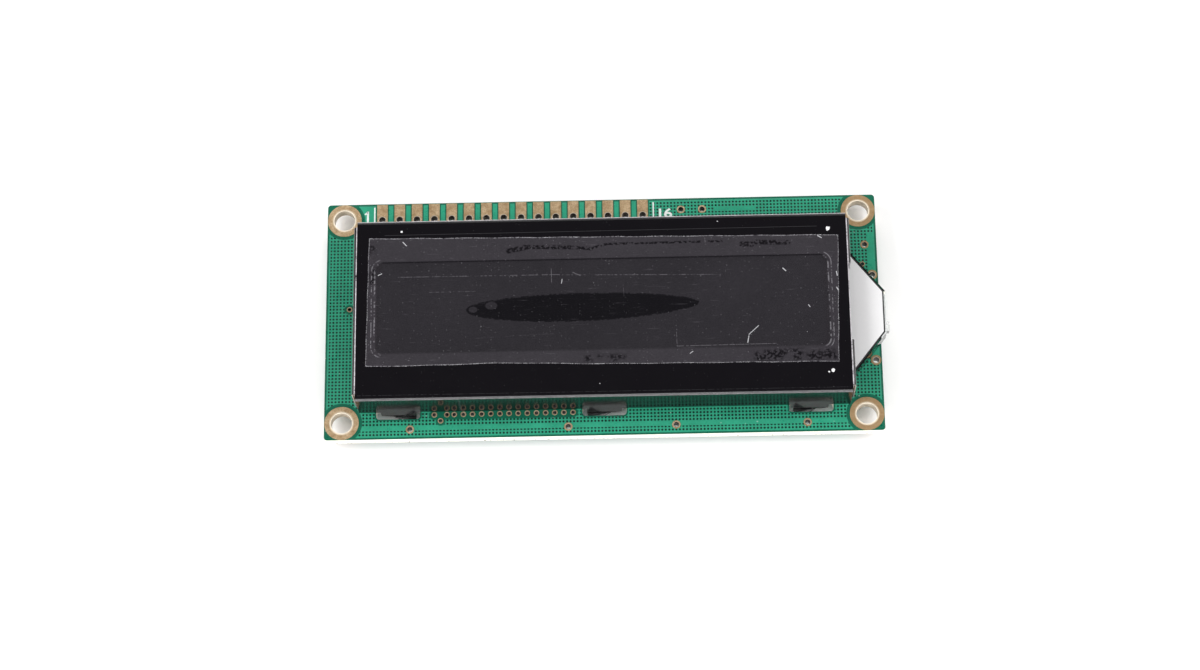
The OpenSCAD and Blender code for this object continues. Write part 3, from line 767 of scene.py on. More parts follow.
def addBarrels(litPlating, shadedPlating):
    values = barrelSet
    mount = [[c, values["mountRadius"]] for c in mountCentres]
    pins = [[c, values["pinRadius"]] for c in pinCentres]
    rings = np.where(viaRadii > values["bigViaFrom"], values["bigViaRing"], values["smallViaRing"])
    small = [[c, r] for c, r in zip(viaCentres, viaRadii - rings)]
    lamps = [[c, r - values["lampPadRing"]] for c, r in zip(lampPadCentres, lampPadRadii)]
    for name, holes, segments in (("mountBarrels", mount, 96), ("pinBarrels", pins, 40),
                                  ("viaBarrels", small, 28), ("lampPadBarrels", lamps, 36)):
        lip = values["lip"] * (values["viaLipShare"] if name == "viaBarrels" else 1.0)
        loops = [barrelLoop(radius, lip, values["wall"]) for c, radius in holes]
        points, faces = turnedRings([c for c, radius in holes], loops, segments)
        metal = litPlating if name == "mountBarrels" else shadedPlating
        addPiece(name, points, faces, metal, smooth=True)


# ---- white print

printSet = {"height": 0.02, "lineWidth": 0.2, "digitHeight": 1.5, "oneHeight": 1.9,
            "oneStroke": 0.3, "backOneHeight": 1.6, "backOneStroke": 0.26, "ringGap": 0.55,
            "ringWidth": 0.18, "chipGap": 0.32}


def makeInk():
    material, tree, shader, place = startMaterial("white print")
    tone = cloud(tree, place, 2.5)
    setShader(tree, shader, baseColor=blend(tree, tone, (0.86, 0.88, 0.86), (0.62, 0.70, 0.66)))
    setShader(tree, shader, roughness=0.55)
    giveBump(tree, shader, tone, 0.01)
    return material


def digits(body, low, high, height, mirrored=False):
    # the outline of a number, made a mesh, then fitted between two corners
    curve = bpy.data.curves.new("number", "FONT")
    curve.body = body
    curve.extrude = 0.5
    curve.offset = 0.022
    curve.space_character = 0.92
    holder = bpy.data.objects.new("number", curve)
    scene.collection.objects.link(holder)
    bpy.context.view_layer.update()
    mesh = bpy.data.meshes.new_from_object(holder)
    bpy.data.objects.remove(holder)
    shape = bmesh.new()
    shape.from_mesh(mesh)
    bmesh.ops.remove_doubles(shape, verts=shape.verts, dist=1e-5)
    bmesh.ops.triangulate(shape, faces=shape.faces)
    shape.to_mesh(mesh)
    shape.free()
    points = np.zeros(len(mesh.vertices) * 3)
    mesh.vertices.foreach_get("co", points)
    points = points.reshape(-1, 3)
    faces = np.zeros(len(mesh.polygons) * 3, dtype=int)
    mesh.polygons.foreach_get("vertices", faces)
    bpy.data.meshes.remove(mesh)
    smallest, largest = points.min(0), points.max(0)
    share = (points - smallest) / (largest - smallest)
    if mirrored:
        share[:, 0] = 1 - share[:, 0]
    low = np.array(tuple(low) + (height[0],))
    high = np.array(tuple(high) + (height[1],))
    return low + share * (high - low), faces.reshape(-1, 3)


def triangles(quads):
    return np.vstack([quads[:, [0, 1, 2]], quads[:, [0, 2, 3]]])


def figureOne(top, tall, stroke, height, side=1):
    # a stem with a slanting flag
    x, y = top
    stem = ribbon([(x, y), (x, y - tall)], stroke, *height)
    flag = ribbon([(x, y - stroke * 0.3), (x - side * 0.42, y - 0.5)], stroke * 0.8, *height)
    return [[points, triangles(faces)] for points, faces in (stem, flag)]


def addPrint(material):
    values = printSet
    top = (boardTop, boardTop + values["height"])
    back = (boardBack - values["height"], boardBack)
    rowLow, rowHigh = nodeBox("pin_pads")
    firstLine, lastLine = rowLow[0] - 0.35, rowHigh[0] + 0.8
    rowTop, rowFoot = boardHigh[1] - 0.5, bezelHigh[1] + 0.3
    parts = []
    for x in (firstLine, lastLine):
        points, faces = ribbon([(x, rowFoot), (x, rowTop)], values["lineWidth"], *top)
        parts.append([points, triangles(faces)])
    tall = values["digitHeight"]
    parts += figureOne((firstLine - 1.0, rowTop - 0.6), values["oneHeight"], values["oneStroke"], top)
    parts.append(digits("16", (lastLine + 0.8, rowTop - 2.5),
                        (lastLine + 2.75, rowTop - 2.5 + tall), top))
    points, faces = joined(parts)
    addPiece("frontPrint", points, faces, material)
    parts = []
    for name in ("controller_drop", "driver_drop"):
        low, high = nodeBox(name)
        ring = ringLine((low + high)[:2] / 2, (high[0] - low[0]) / 2 + values["ringGap"],
                        values["ringWidth"], *back)
        parts.append([ring[0], triangles(ring[1])])
    for name in ("chip_resistors", "chip_capacitors"):
        for low, high in zip(*islandBoxes(name)):
            parts += chipFrame(low, high, values["lineWidth"] * 0.8, back)
    parts += figureOne((firstLine - 1.0, 17.1), values["backOneHeight"], values["backOneStroke"],
                       back, -1)
    parts.append(digits("16", (lastLine + 0.3, 15.2), (lastLine + 2.2, 16.7), back, True))
    points, faces = joined(parts)
    addPiece("backPrint", points, faces, material)


trackSet = {"width": 0.3, "height": 0.03, "busPitch": 0.8, "busCount": 9, "rimGap": 0.4,
            "pinFan": (150, -120), "viaFan": (-148, 116), "firstBend": 13.4, "bendStep": 0.38,
            "pinEnd": 1.2, "viaEnd": 0.9, "viaRun": (1.6, 0.3)}


def addTracks(material):
    # tracks on the back: pins to the controller's drop, a bus between the drops, and a fan from the
    # controller to the row of vias; each is a straight run, a slant and a straight end
    values = trackSet
    height = (boardBack - values["height"], boardBack)
    low, high = nodeBox("controller_drop")
    centre, radius = (low + high)[:2] / 2, (high[0] - low[0]) / 2 - values["rimGap"]
    otherLow, otherHigh = nodeBox("driver_drop")
    other = (otherLow + otherHigh)[:2] / 2
    side = np.sign(other[0] - centre[0])
    padFoot = nodeBox("pin_pads")[0][1] + 0.1
    parts = []
    count = len(pinCentres)
    for i, (x, y) in enumerate(pinCentres):
        angle = math.radians(values["pinFan"][0] + values["pinFan"][1] * i / (count - 1))
        end = centre + radius * np.array([math.cos(angle), math.sin(angle)])
        bend = values["firstBend"] - values["bendStep"] * abs(i - count / 2)
        parts.append(ribbon([(x, padFoot), (x, bend), (end[0], end[1] + values["pinEnd"]), tuple(end)],
                            values["width"], *height))
    for i in range(values["busCount"]):
        y = (i - (values["busCount"] - 1) / 2) * values["busPitch"]
        reach = math.sqrt(radius ** 2 - y ** 2)
        parts.append(ribbon([(centre[0] + side * reach, y), (other[0] - side * reach, y)],
                            values["width"], *height))
    row = viaCentres[np.abs(viaCentres[:, 1] - np.median(viaCentres[:, 1])) < 0.02]
    row = row[np.argsort(row[:, 0])]
    near = centre if abs(centre[0] - row[:, 0].mean()) < abs(other[0] - row[:, 0].mean()) else other
    for i, (x, y) in enumerate(row):
        angle = math.radians(values["viaFan"][0] + values["viaFan"][1] * i / (len(row) - 1))
        end = near + radius * np.array([math.cos(angle), math.sin(angle)])
        run = [(x, y + away) for away in values["viaRun"]]
        parts.append(ribbon([tuple(end), (end[0], end[1] - values["viaEnd"])] + run,
                            values["width"], *height))
    points, faces = joined(parts)
    addPiece("backTracks", points, faces, material)


def chipFrame(low, high, width, height):
    # two brackets beside a chip, along its longer side
    long = 0 if high[0] - low[0] > high[1] - low[1] else 1
    middle = (low + high)[:2] / 2
    half = (high - low)[:2] / 2
    parts = []
    for side in (-1, 1):
        start, end = middle.copy(), middle.copy()
        offset = half[1 - long] + printSet["chipGap"]
        start[1 - long] += side * offset
        end[1 - long] += side * offset
        start[long] -= half[long]
        end[long] += half[long]
        points, faces = ribbon([start, end], width, *height)
        parts.append([points, triangles(faces)])
    return parts


# ---- bezel: black enamel on steel, bare where it was cut

bezelLook = {"paint": (0.0028, 0.0022, 0.0036), "steel": (0.62, 0.61, 0.63), "foldRadius": 0.5,
             "shineTone": (0.70, 0.66, 0.70), "frontHighlight": 0.16, "rearHighlight": 0.75, "innerLine": 0.42,
             "innerHighlight": 0.95, "outerHighlight": 0.3,
             "chips": [(32.6, 10.5, 0.26), (32.5, -10.8, 0.24), (31.9, -11.1, 0.1), (16.8, 11.9, 0.07),
                       (-28.6, 11.3, 0.12), (-0.4, -12.2, 0.05)]}


def makeEnamel():
    material, tree, shader, place = startMaterial("black enamel on steel")
    look = bezelLook
    reach = look["foldRadius"] + 0.05
    parts = addNode(tree, "ShaderNodeSeparateXYZ", {"Vector": place}).outputs
    normal = addNode(tree, "ShaderNodeNewGeometry").outputs["Normal"]
    facing = addNode(tree, "ShaderNodeSeparateXYZ",
                     {"Vector": vectorCalc(tree, "ABSOLUTE", normal)}).outputs
    alongX = calc(tree, "GREATER_THAN", facing["X"], 0.9)
    alongY = calc(tree, "GREATER_THAN", facing["Y"], 0.9)
    endWall = calc(tree, "MAXIMUM", calc(tree, "LESS_THAN", parts["X"], bezelLow[0] + reach),
                   calc(tree, "GREATER_THAN", parts["X"], bezelHigh[0] - reach))
    longWall = calc(tree, "MAXIMUM", calc(tree, "LESS_THAN", parts["Y"], bezelLow[1] + reach),
                    calc(tree, "GREATER_THAN", parts["Y"], bezelHigh[1] - reach))
    cut = calc(tree, "MAXIMUM", product(tree, endWall, alongY), product(tree, longWall, alongX))
    below = calc(tree, "LESS_THAN", parts["Z"], bezelHigh[2] - 0.02)
    cut = product(tree, cut, below)
    # a cut end is bare along the outer corner and painted over further in
    edgeX = calc(tree, "MINIMUM", calc(tree, "SUBTRACT", parts["X"], bezelLow[0]),
                 calc(tree, "SUBTRACT", bezelHigh[0], parts["X"]))
    bare = inverse(tree, rise(tree, edgeX, 0.08, 0.2))
    bare = calc(tree, "MAXIMUM", product(tree, bare, endWall), product(tree, longWall, 0.12))
    cut = product(tree, cut, bare, rise(tree, cloud(tree, place, 1.2), 0.02, 0.2))
    # folds: painted highlights where they turn down, light bands along each fold broken up by noise
    fromTop = calc(tree, "SUBTRACT", bezelHigh[2], parts["Z"])
    frontSide = calc(tree, "LESS_THAN", parts["Y"], bezelLow[1] + reach)
    rearSide = calc(tree, "GREATER_THAN", parts["Y"], bezelHigh[1] - reach)
    shineTone = cloud(tree, place, 1.4, 0.5, 1.25)
    frontBand = product(tree, rise(tree, fromTop, 0.14, 0.3),
                        inverse(tree, rise(tree, fromTop, 0.55, 0.68)),
                        frontSide, shineTone, look["frontHighlight"])
    wallStart = inverse(tree, rise(tree, fromTop, 0.6, 0.7))
    rearBand = product(tree, rise(tree, fromTop, 0.07, 0.12), wallStart, rearSide, shineTone,
                       look["rearHighlight"])
    inner = calc(tree, "ABSOLUTE", calc(tree, "SUBTRACT", edgeX, look["innerLine"]))
    inner = product(tree, inverse(tree, rise(tree, inner, 0.03, 0.09)),
                    inverse(tree, calc(tree, "MAXIMUM", frontSide, rearSide)),
                    rise(tree, cloud(tree, place, 0.5), 0.05, 0.5), shineTone, look["innerHighlight"])
    outer = product(tree, rise(tree, fromTop, 0.28, 0.36), wallStart, endWall, shineTone,
                    look["outerHighlight"])
    foldHighlights = highest(tree, [frontBand, rearBand, inner, outer])
    foldHighlights = calc(tree, "MINIMUM", foldHighlights, 1.0)
    chips = []
    for x, y, r in look["chips"]:
        wobble = addNode(tree, "ShaderNodeTexNoise", {"Vector": place, "Scale": 3.0}).outputs["Color"]
        wobble = vectorCalc(tree, "MULTIPLY", wobble, (0.5, 0.5, 0))
        shift = vectorCalc(tree, "ADD", place, wobble)
        chips.append(disc(tree, shift, x + 0.25, y + 0.25, r, 0.05))
    top = calc(tree, "GREATER_THAN", parts["Z"], bezelHigh[2] - 0.05)
    chip = product(tree, highest(tree, chips), top)
    lint = dust(tree, place, 0.62, 0.06, 0.2)
    fine = dust(tree, place, 2.3, 0.12, 0.1)
    specksOn = calc(tree, "MAXIMUM", product(tree, lint, 0.55), product(tree, fine, 0.28))
    # faint painted reflections: a light line across the top behind the window and two along the front
    # fold
    reflectionLines = [scratch(tree, place, (-31.0, 10.75), (31.0, 10.9), 0.1, 0.05),
             scratch(tree, place, (-20.5, -14.0), (-19.0, -14.2), 0.08, 0.1),
             scratch(tree, place, (-35.0, -13.35), (35.0, -13.4), 0.07, 0.4)]
    reflectionLines = product(tree, highest(tree, reflectionLines), 0.05)
    colour = blend(tree, product(tree, specksOn, top), look["paint"], (0.45, 0.45, 0.46))
    colour = blend(tree, reflectionLines, colour, (0.5, 0.5, 0.52))
    # painted highlights on the folds
    colour = blend(tree, foldHighlights, colour, look["shineTone"])
    colour = blend(tree, chip, colour, (0.85, 0.85, 0.86))
    colour = blend(tree, cut, colour, look["steel"])
    setShader(tree, shader, baseColor=colour, metallic=product(tree, cut, 0.85))
    rough = addNode(tree, "ShaderNodeMix", {0: cut, 2: cloud(tree, place, 0.25, 0.14, 0.22), 3: 0.4})
    rough = calc(tree, "ADD", rough.outputs[0], product(tree, chip, 0.3))
    rough = calc(tree, "ADD", rough, product(tree, rearSide, 0.35))
    setShader(tree, shader, roughness=rough, coatWeight=product(tree, inverse(tree, cut), 0.1))
    setShader(tree, shader, coatRoughness=0.08)
    giveBump(tree, shader, noise(tree, place, 1.1, 4.0, 0.6), 0.006)
    return material


# ---- protective film: laid over the window, sagging into it, touching the polarizer in a long patch

filmSet = {"corners": [(-33.6, -9.07), (33.4, -9.6), (34.05, 9.55), (-33.3, 10.3)],
           "thickness": 0.05, "window": [(-32.2, -7.2), (32.4, 6.6)], "sagReach": 3.2,
           "patchMiddle": -4.0, "patchLeft": 15.3, "patchRight": 17.95, "patchHalf": 2.05,
           "outlineLow": (-32.4, -7.3), "outlineHigh": (32.4, 6.55),
           # bubbles in the patch: x, y, radius, share by which y is drawn out
           "bubbles": [(-18.35, -0.68, 0.62, 1.35), (-15.75, -0.12, 0.85, 1.5)],
           "darkPatches": [((-2.5, -9.1), (3.6, -7.9)), ((21.5, -9.3), (33.2, -7.6)),
                           ((-33.2, 3.2), (-32.3, 9.6))],
           "haze": (0.36, 0.33, 0.38), "alpha": 0.043, "lift": 0.006}


def patchField(x, y):
    # above 0 inside the patch where the film lies on the polarizer: the share of the half width
    # that is left, where half width = greatest (1 - t^2)^p and the middle line rises to the right
    values = filmSet
    right = x > values["patchMiddle"]
    t = (x - values["patchMiddle"]) / np.where(right, values["patchRight"], values["patchLeft"])
    room = np.clip(1 - t ** 2, 0, None)
    half = values["patchHalf"] * room ** np.where(right, 0.61, 0.5)
    s = (x - values["patchMiddle"] + values["patchLeft"]) / (values["patchLeft"] + values["patchRight"])
    middle = -0.75 + 0.55 * s ** 2
    return half - np.abs(y - middle) - np.clip(np.abs(t) - 1, 0, None) * 30


def filmHeight(x, y):
    # flat on the frame; over the window it drops by a share of 1 - exp(-distance / reach) and all
    # the way down in the patch
    values = filmSet
    (x0, y0), (x1, y1) = values["window"]
    inside = np.minimum(np.minimum(x - x0, x1 - x), np.minimum(y - y0, y1 - y))
    inside = np.clip(inside, 0, None)
    share = 1 - np.exp(-(inside / values["sagReach"]) ** 1.5)
    near = np.exp(-(np.clip(-patchField(x, y), 0, None) / 1.6) ** 1.2)
    top = nodeBox("front_polarizer")[1][2]
    depth = (nodeBox("protective_film")[0][2] - top - 0.004) * share * (0.62 + 0.38 * near)
    ripple = 0.012 * np.sin(x * 0.9 + 2 * np.sin(y * 0.5)) * share * (1 - near)
    crease = 0.02 * np.exp(-((y - 9.2 - 0.1 * np.sin(x)) / 0.25) ** 2) * np.exp(-((x + 24) / 2.5) ** 2)
    return nodeBox("protective_film")[0][2] + values["lift"] - depth + ripple + crease


def addFilm(material):
    # x and y run between four corners: point = sum of corner x its share (bilinear), with a
    # slight wave along the front and rear edges
    values = filmSet
    columns, rows = 280, 90
    u, v = np.meshgrid(np.linspace(0, 1, columns), np.linspace(0, 1, rows), indexing="ij")
    c = np.array(values["corners"])
    weights = [(1 - u) * (1 - v), u * (1 - v), u * v, (1 - u) * v]
    x = sum(w * p[0] for w, p in zip(weights, c))
    y = sum(w * p[1] for w, p in zip(weights, c))
    y = y + (1 - v) ** 6 * (0.28 * np.exp(-((x + 14) / 9) ** 2) + 0.03 * np.sin(x * 0.7))
    y = y + v ** 6 * 0.03 * np.sin(x * 0.9)
    x = x + 0.03 * (u ** 8 - (1 - u) ** 8) * np.sin(y * 1.1)
    z = filmHeight(x, y)
    points = np.stack([x, y, z], -1).reshape(-1, 3)
    film = addPiece("protectiveFilm", points, gridFaces(columns, rows)[:, ::-1], material,
                    smooth=True, closed=False)
    mesh = film.data
    if mesh.polygons[0].normal.z < 0:
        mesh.flip_normals()
    wet = mesh.attributes.new("wet", "FLOAT", "POINT")
    wet.data.foreach_set("value", patchField(x, y).astype(np.float32).ravel())
    edge = mesh.attributes.new("edge", "FLOAT", "POINT")
    length = c[1, 0] - c[0, 0]
    width = c[3, 1] - c[0, 1]
    away = np.minimum(np.minimum(u, 1 - u) * length, np.minimum(v, 1 - v) * width)
    edge.data.foreach_set("value", away.astype(np.float32).ravel())
    shell = film.modifiers.new("thickness", "SOLIDIFY")
    shell.thickness = values["thickness"] * mm
    shell.offset = 1.0
    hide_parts("protective_film")
    return film


filmScratches = [  # start, end, width, breaks, strength
    ((-29.0, 4.35), (-6.0, 4.3), 0.11, 0.45, 0.21), ((-6.0, 4.25), (17.0, 3.85), 0.11, 0.5, 0.23),
    ((-24.6, 2.0), (-18.0, 2.05), 0.1, 0.5, 0.15), ((-7.15, 5.2), (-7.1, 3.0), 0.085, 0.3, 0.25),
    ((-5.6, 3.6), (-5.7, 3.0), 0.14, 0, 0.72), ((-4.1, 4.6), (-3.0, 4.1), 0.1, 0.3, 0.29),
    ((10.55, -4.7), (10.6, -6.9), 0.085, 0.4, 0.21), ((10.6, -6.87), (24.7, -6.75), 0.093, 0.35, 0.25),
    ((22.2, -4.0), (20.8, -5.3), 0.14, 0, 0.8), ((20.8, -5.5), (20.6, -6.5), 0.19, 0.3, 0.8),
    ((-28.4, 9.65), (-27.9, 9.1), 0.17, 0, 0.8), ((-31.9, 4.65), (-31.4, 4.9), 0.15, 0, 0.8),
    ((25.95, 4.6), (26.35, 4.2), 0.19, 0, 0.8), ((3.1, 2.6), (3.2, 0.9), 0.068, 0.4, 0.15),
    ((-18.0, -5.1), (-6.0, -4.5), 0.085, 0.55, 0.1), ((33.55, 3.9), (33.65, 3.3), 0.17, 0, 0.8),
    ((33.5, 1.5), (33.7, 1.1), 0.19, 0, 0.8), ((29.4, -1.0), (29.6, -1.3), 0.17, 0, 0.72),
    ((14.9, 9.5), (15.0, 8.4), 0.085, 0.3, 0.25), ((31.1, 9.4), (31.6, 9.1), 0.19, 0, 0.72),
    ((-30.0, -8.9), (-12.0, -8.75), 0.068, 0.6, 0.084), ((12.4, -8.0), (12.8, -7.7), 0.14, 0, 0.72),
]
bubbleStreaks = [  # start, end, width
    ((-13.2, 8.0), (-10.6, 8.55), 0.55), ((-10.6, 8.55), (-4.0, 8.35), 0.42),
    ((-4.0, 8.35), (-1.5, 8.1), 0.35), ((-1.5, 8.1), (0.8, 8.75), 0.28),
    ((0.8, 8.77), (14.3, 8.85), 0.24), ((15.3, 8.85), (17.3, 8.85), 0.22),
    ((20.2, 8.35), (21.6, 8.3), 0.55), ((22.3, 8.6), (26.8, 8.45), 0.5),
]


def makeFilm():
    material, tree, shader, place = startMaterial("clear protective film")
    values = filmSet
    wet = addNode(tree, "ShaderNodeAttribute", attribute_name="wet").outputs["Fac"]
    edge = addNode(tree, "ShaderNodeAttribute", attribute_name="edge").outputs["Fac"]
    touching = rise(tree, wet, -0.02, 0.05)
    bubbles = [disc(tree, vectorCalc(tree, "MULTIPLY", place, (1, k, 1)), x, y * k, r, 0.05)
               for x, y, r, k in values["bubbles"]]
    touching = product(tree, touching, inverse(tree, highest(tree, bubbles)))
    grain = rise(tree, noise(tree, place, 2.6, 1.0, 0.5), 0.42, 0.52)
    streaks = highest(tree, [scratch(tree, place, s, e, w * 1.9, 0.0) for s, e, w in bubbleStreaks])
    patches = [panel(tree, place, low, high, 0.5, 0.4) for low, high in values["darkPatches"]]
    patches = product(tree, highest(tree, patches),
                      rise(tree, noise(tree, place, 0.5, 1.0), 0.38, 0.55))
    dark = product(tree, highest(tree, [streaks, patches]), grain)
    lines = [product(tree, scratch(tree, place, s, e, w, b), k) for s, e, w, b, k in filmScratches]
    # painted highlight along the film's cut edge, broken up by noise
    rim = inverse(tree, rise(tree, edge, 0.05, 0.13))
    rim = product(tree, rim, cloud(tree, place, 0.7, 0.1, 0.75),
                  rise(tree, noise(tree, place, 5.0, 1.0), 0.34, 0.52))
    fine = product(tree, dust(tree, place, 1.9, 0.14, 0.22), 0.6)
    big = dust(tree, place, 0.62, 0.07, 0.45)
    # painted light and shade at the window's outline under the film: a painted dark line along its rear
    # edge, painted highlights as light dotted lines at both ends
    outline = panel(tree, place, values["outlineLow"], values["outlineHigh"], 1.2, 0.04, "Distance")
    line = inverse(tree, rise(tree, calc(tree, "ABSOLUTE", outline), 0.05, 0.14))
    secondLine = calc(tree, "ABSOLUTE", calc(tree, "SUBTRACT", outline, 0.45))
    secondLine = inverse(tree, rise(tree, secondLine, 0.03, 0.1))
    parts = addNode(tree, "ShaderNodeSeparateXYZ", {"Vector": place}).outputs
    atEnds = rise(tree, calc(tree, "ABSOLUTE", parts["X"]), 31.2, 32.2)
    dotted = rise(tree, noise(tree, place, 2.2, 2.0), 0.46, 0.56)
    endHighlights = product(tree, calc(tree, "MAXIMUM", line, secondLine), atEnds, dotted, 0.3)
    rearEdgeShade = product(tree, line, inverse(tree, atEnds), rise(tree, parts["Y"], 5.0, 6.0), 0.75)
    wetEdge = inverse(tree, rise(tree, calc(tree, "ABSOLUTE", calc(tree, "ADD", wet, 0.05)), 0.03, 0.09))
    wetEdge = product(tree, wetEdge, rise(tree, noise(tree, place, 2.4, 1.0), 0.42, 0.5), 0.9)
    hairs = noise(tree, vectorCalc(tree, "MULTIPLY", place, (0.35, 6.0, 1.0)), 1.0, 3.0)
    hairs = rise(tree, hairs, 0.64, 0.8)
    # real scratches, dust and hairs together with the painted highlights on the film's edge and at the
    # window's ends
    bright = highest(tree, lines + [rim, fine, big, endHighlights, product(tree, hairs, 0.12)])
    # dark streaks, patches and the patch's edge, with the painted dark line along the window's rear edge
    dark = highest(tree, [dark, rearEdgeShade, wetEdge])
    haze = cloud(tree, place, 0.12, 0.88, 1.12)
    grainy = span(tree, noise(tree, place, 5.0, 2.0), 0.3, 0.7, 0.85, 1.15)
    over = panel(tree, place, values["window"][0], values["window"][1], 1.0, 0.25)
    alpha = product(tree, haze, grainy, span(tree, over, 0.0, 1.0, 1.0, 0.6), values["alpha"])
    alpha = product(tree, alpha, inverse(tree, product(tree, touching, 0.88)))
    alpha = product(tree, alpha, inverse(tree, product(tree, dark, 0.95)))
    alpha = calc(tree, "ADD", alpha, product(tree, bright, 0.42), clamp=True)
    setShader(tree, shader, baseColor=blend(tree, bright, values["haze"], (0.85, 0.86, 0.88)))
    setShader(tree, shader, alpha=alpha, roughness=0.2, ior=1.5)
    giveBump(tree, shader, noise(tree, place, 0.6, 3.0), 0.01)
    return material


# ---- the display cell and what lies round it

def makePolarizer():
    material, tree, shader, place = startMaterial("dark polarizer")
    tone = cloud(tree, place, 0.1)
    colour = blend(tree, tone, (0.0022, 0.0020, 0.0030), (0.0040, 0.0036, 0.0050))
    setShader(tree, shader, baseColor=colour)
    setShader(tree, shader, roughness=cloud(tree, place, 0.4, 0.08, 0.14), specular=0.35)
    giveBump(tree, shader, noise(tree, place, 0.8, 2.0), 0.002)
    return material


def makeClear(name, tint, ior, roughness, bumpHeight):
    # clear solids: the tint deepens a little where the surface is cloudy
    material, tree, shader, place = startMaterial(name)
    tone = cloud(tree, place, 0.3)
    deep = tuple(c * 0.93 for c in tint)
    setShader(tree, shader, baseColor=blend(tree, tone, tint, deep), transmission=1.0)
    setShader(tree, shader, ior=ior, roughness=cloud(tree, place, 0.8, roughness * 0.6, roughness * 1.4))
    giveBump(tree, shader, noise(tree, place, 1.3, 3.0), bumpHeight)
    return material


def makePlain(name, first, second, scale, roughness, bumpHeight, metallic=0.0, bumpScale=1.0,
              specular=0.5):
    # two tones mixed by cloudy noise, with matching gloss and a fine relief
    material, tree, shader, place = startMaterial(name)
    tone = cloud(tree, place, scale)
    lint = product(tree, dust(tree, place, 0.7, 0.09, 0.25), 0.35)
    colour = blend(tree, tone, first, second)
    setShader(tree, shader, baseColor=blend(tree, lint, colour, (0.6, 0.6, 0.58)), metallic=metallic)
    setShader(tree, shader, roughness=cloud(tree, place, scale * 1.7, roughness[0], roughness[1]))
    setShader(tree, shader, specular=specular)
    giveBump(tree, shader, noise(tree, place, bumpScale, 4.0, 0.6), bumpHeight)
    return material


def makeFoil():
    # white backing foil on the tail: satin, brighter towards its tip
    material, tree, shader, place = startMaterial("white backing foil")
    x = addNode(tree, "ShaderNodeSeparateXYZ", {"Vector": place}).outputs["X"]
    low, high = nodeBox("tail_foil")
    along = span(tree, x, low[0], high[0], 0.0, 1.0)
    tone = calc(tree, "ADD", product(tree, along, 0.75), product(tree, cloud(tree, place, 0.3), 0.25))
    colour = blend(tree, tone, (0.66, 0.655, 0.66), (0.78, 0.775, 0.78))
    colour = blend(tree, product(tree, dust(tree, place, 1.3, 0.09, 0.2), 0.3), colour, (0.4, 0.38, 0.36))
    setShader(tree, shader, baseColor=colour, roughness=cloud(tree, place, 1.0, 0.28, 0.42))
    giveBump(tree, shader, noise(tree, place, 0.5, 3.0), 0.012)
    return material


def makeZebra():
    # black and grey layers across the rubber strip
    material, tree, shader, place = startMaterial("layered rubber strip")
    x = addNode(tree, "ShaderNodeSeparateXYZ", {"Vector": place}).outputs["X"]
    wave = calc(tree, "SINE", product(tree, x, 2 * math.pi / 0.1))
    colour = blend(tree, rise(tree, wave, -0.2, 0.2), (0.02, 0.02, 0.022), (0.10, 0.10, 0.105))
    setShader(tree, shader, baseColor=colour, roughness=cloud(tree, place, 1.0, 0.6, 0.8))
    giveBump(tree, shader, noise(tree, place, 2.0, 3.0), 0.01)
    return material


def makeSolder():
    material, tree, shader, place = startMaterial("solder")
    tone = cloud(tree, place, 1.4)
    setShader(tree, shader, baseColor=blend(tree, tone, (0.72, 0.72, 0.74), (0.48, 0.48, 0.50)))
    setShader(tree, shader, metallic=0.9, roughness=cloud(tree, place, 2.2, 0.22, 0.42))
    giveBump(tree, shader, noise(tree, place, 2.4, 3.0), 0.03)
    return material


def makeResin():
    # black casting resin: glossy, slightly wavy, a dull skin towards the rim
    material, tree, shader, place = startMaterial("black casting resin")
    z = addNode(tree, "ShaderNodeSeparateXYZ", {"Vector": place}).outputs["Z"]
    low, high = nodeBox("controller_drop")
    rim = rise(tree, z, high[2] - 0.5, high[2])
    tone = cloud(tree, place, 0.25)
    colour = blend(tree, tone, (0.008, 0.008, 0.009), (0.016, 0.016, 0.017))
    colour = blend(tree, product(tree, rim, 0.5), colour, (0.03, 0.03, 0.028))
    colour = blend(tree, product(tree, dust(tree, place, 0.8, 0.08, 0.3), 0.4), colour, (0.4, 0.4, 0.4))
    setShader(tree, shader, baseColor=colour, roughness=span(tree, rim, 0.0, 1.0, 0.26, 0.42))
    wavy = calc(tree, "ADD", product(tree, noise(tree, place, 0.18, 1.0), 0.8),
                product(tree, noise(tree, place, 1.4, 3.0), 0.2))
    giveBump(tree, shader, wavy, 0.12)
    return material


def makeTrack():
    # lacquered copper tracks on the back, the same green as over the copper elsewhere
    material, tree, shader, place = startMaterial("lacquered track")
    tone = cloud(tree, place, 0.4)
    light = boardLook["lacquerOverCopper"]
    setShader(tree, shader, baseColor=blend(tree, tone, light, tuple(c * 0.8 for c in light)))
    setShader(tree, shader, roughness=cloud(tree, place, 0.8, 0.24, 0.36), coatWeight=0.35)
    setShader(tree, shader, coatRoughness=0.12)
    giveBump(tree, shader, noise(tree, place, 1.6, 3.0), 0.01)
    return material


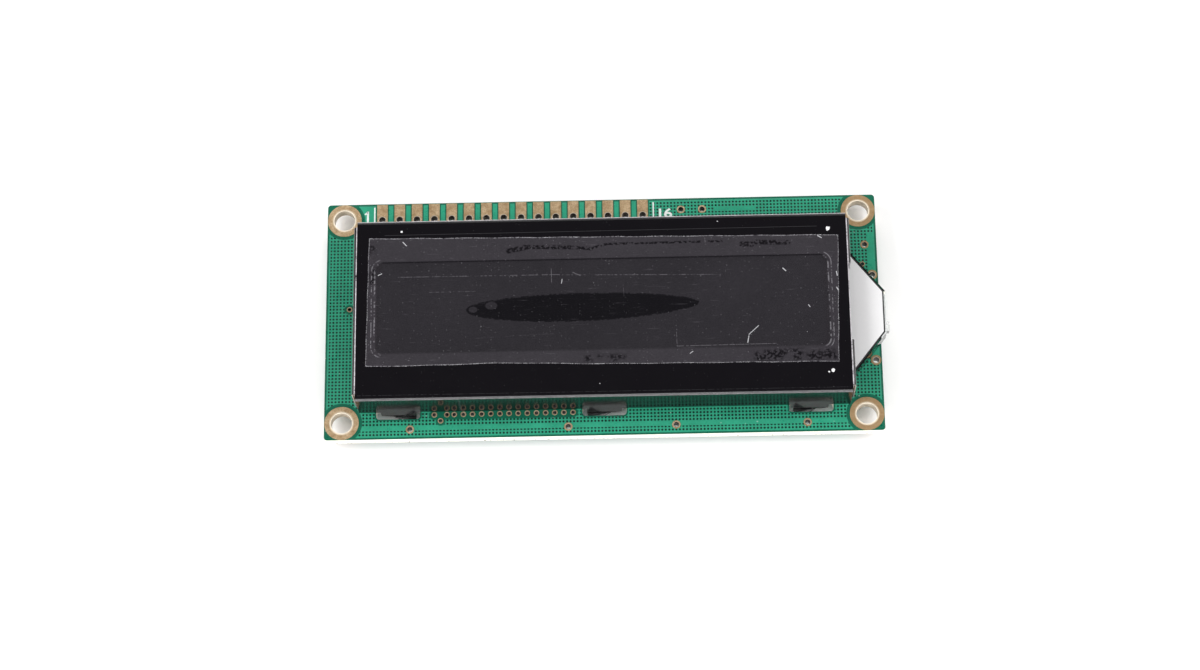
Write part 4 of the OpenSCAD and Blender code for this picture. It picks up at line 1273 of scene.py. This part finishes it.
looks = {
    "board_green": makeBoard(),
    "gold_plate": makeGold(),
    "black_paint": makeEnamel(),
    "dark_polarizer": makePolarizer(),
    "cell_glass": makeClear("cell glass", (0.93, 0.97, 0.95), 1.52, 0.02, 0.001),
    "seal_epoxy": makePlain("seal epoxy", (0.55, 0.50, 0.38), (0.42, 0.38, 0.28), 0.8, (0.3, 0.5), 0.01),
    "crystal_layer": makePlain("liquid crystal", (0.05, 0.055, 0.06), (0.08, 0.085, 0.09),
                   0.1, (0.1, 0.2), 0.001),
    "plug_resin": makePlain("plug resin", (0.75, 0.72, 0.60), (0.60, 0.56, 0.42), 1.5, (0.15, 0.3),
                   0.02),
    "zebra_rubber": makeZebra(),
    "white_sheet": makePlain("white plastic sheet", (0.84, 0.84, 0.83), (0.76, 0.76, 0.74),
                   0.2, (0.45, 0.6), 0.01),
    "clear_acrylic": makeClear("clear acrylic", (0.96, 0.97, 0.97), 1.49, 0.03, 0.004),
    "black_tape": makePlain("black tape", (0.012, 0.012, 0.013), (0.025, 0.025, 0.026),
                   1.2, (0.4, 0.6), 0.02, bumpScale=3.0),
    "white_foil": makeFoil(),
    "lamp_body": makePlain("lamp body", (0.80, 0.77, 0.66), (0.70, 0.66, 0.54), 0.8, (0.35, 0.5), 0.01),
    "tin_plate": makePlain("tin plate", (0.70, 0.70, 0.71), (0.50, 0.50, 0.51), 1.2, (0.25, 0.45),
                   0.02, metallic=0.9),
    "solder": makeSolder(),
    "black_resin": makeResin(),
    "resistor_body": makePlain("resistor body", (0.012, 0.012, 0.014), (0.03, 0.03, 0.032),
                   1.5, (0.3, 0.5), 0.02, bumpScale=3.0),
    "capacitor_body": makePlain("capacitor body", (0.34, 0.23, 0.13), (0.26, 0.17, 0.09),
                   1.5, (0.4, 0.6), 0.02, bumpScale=3.0),
}
looks["clear_film"] = makeFilm()
print("materials made:", len(looks))

for part in record["subparts"]:
    materials = nodes[part["node"]].data.materials
    for place in range(len(materials)):
        materials[place] = looks[part["material_slot"]]

# lit and shaded copies of one plating: the mounting holes painted light as if lit, the small holes
# painted near black as the shade inside them
addBarrels(makeBarrelMetal("plating in the mounting holes, painted lit", (0.62, 0.55, 0.44), (0.40, 0.33, 0.24), 1.0),
           makeBarrelMetal("plating in the small holes, painted as shade", (0.07, 0.035, 0.018),
                           (0.02, 0.012, 0.009), 0.55))
addPrint(makeInk())
addTracks(makeTrack())
addFilm(looks["clear_film"])
print("front dressed")
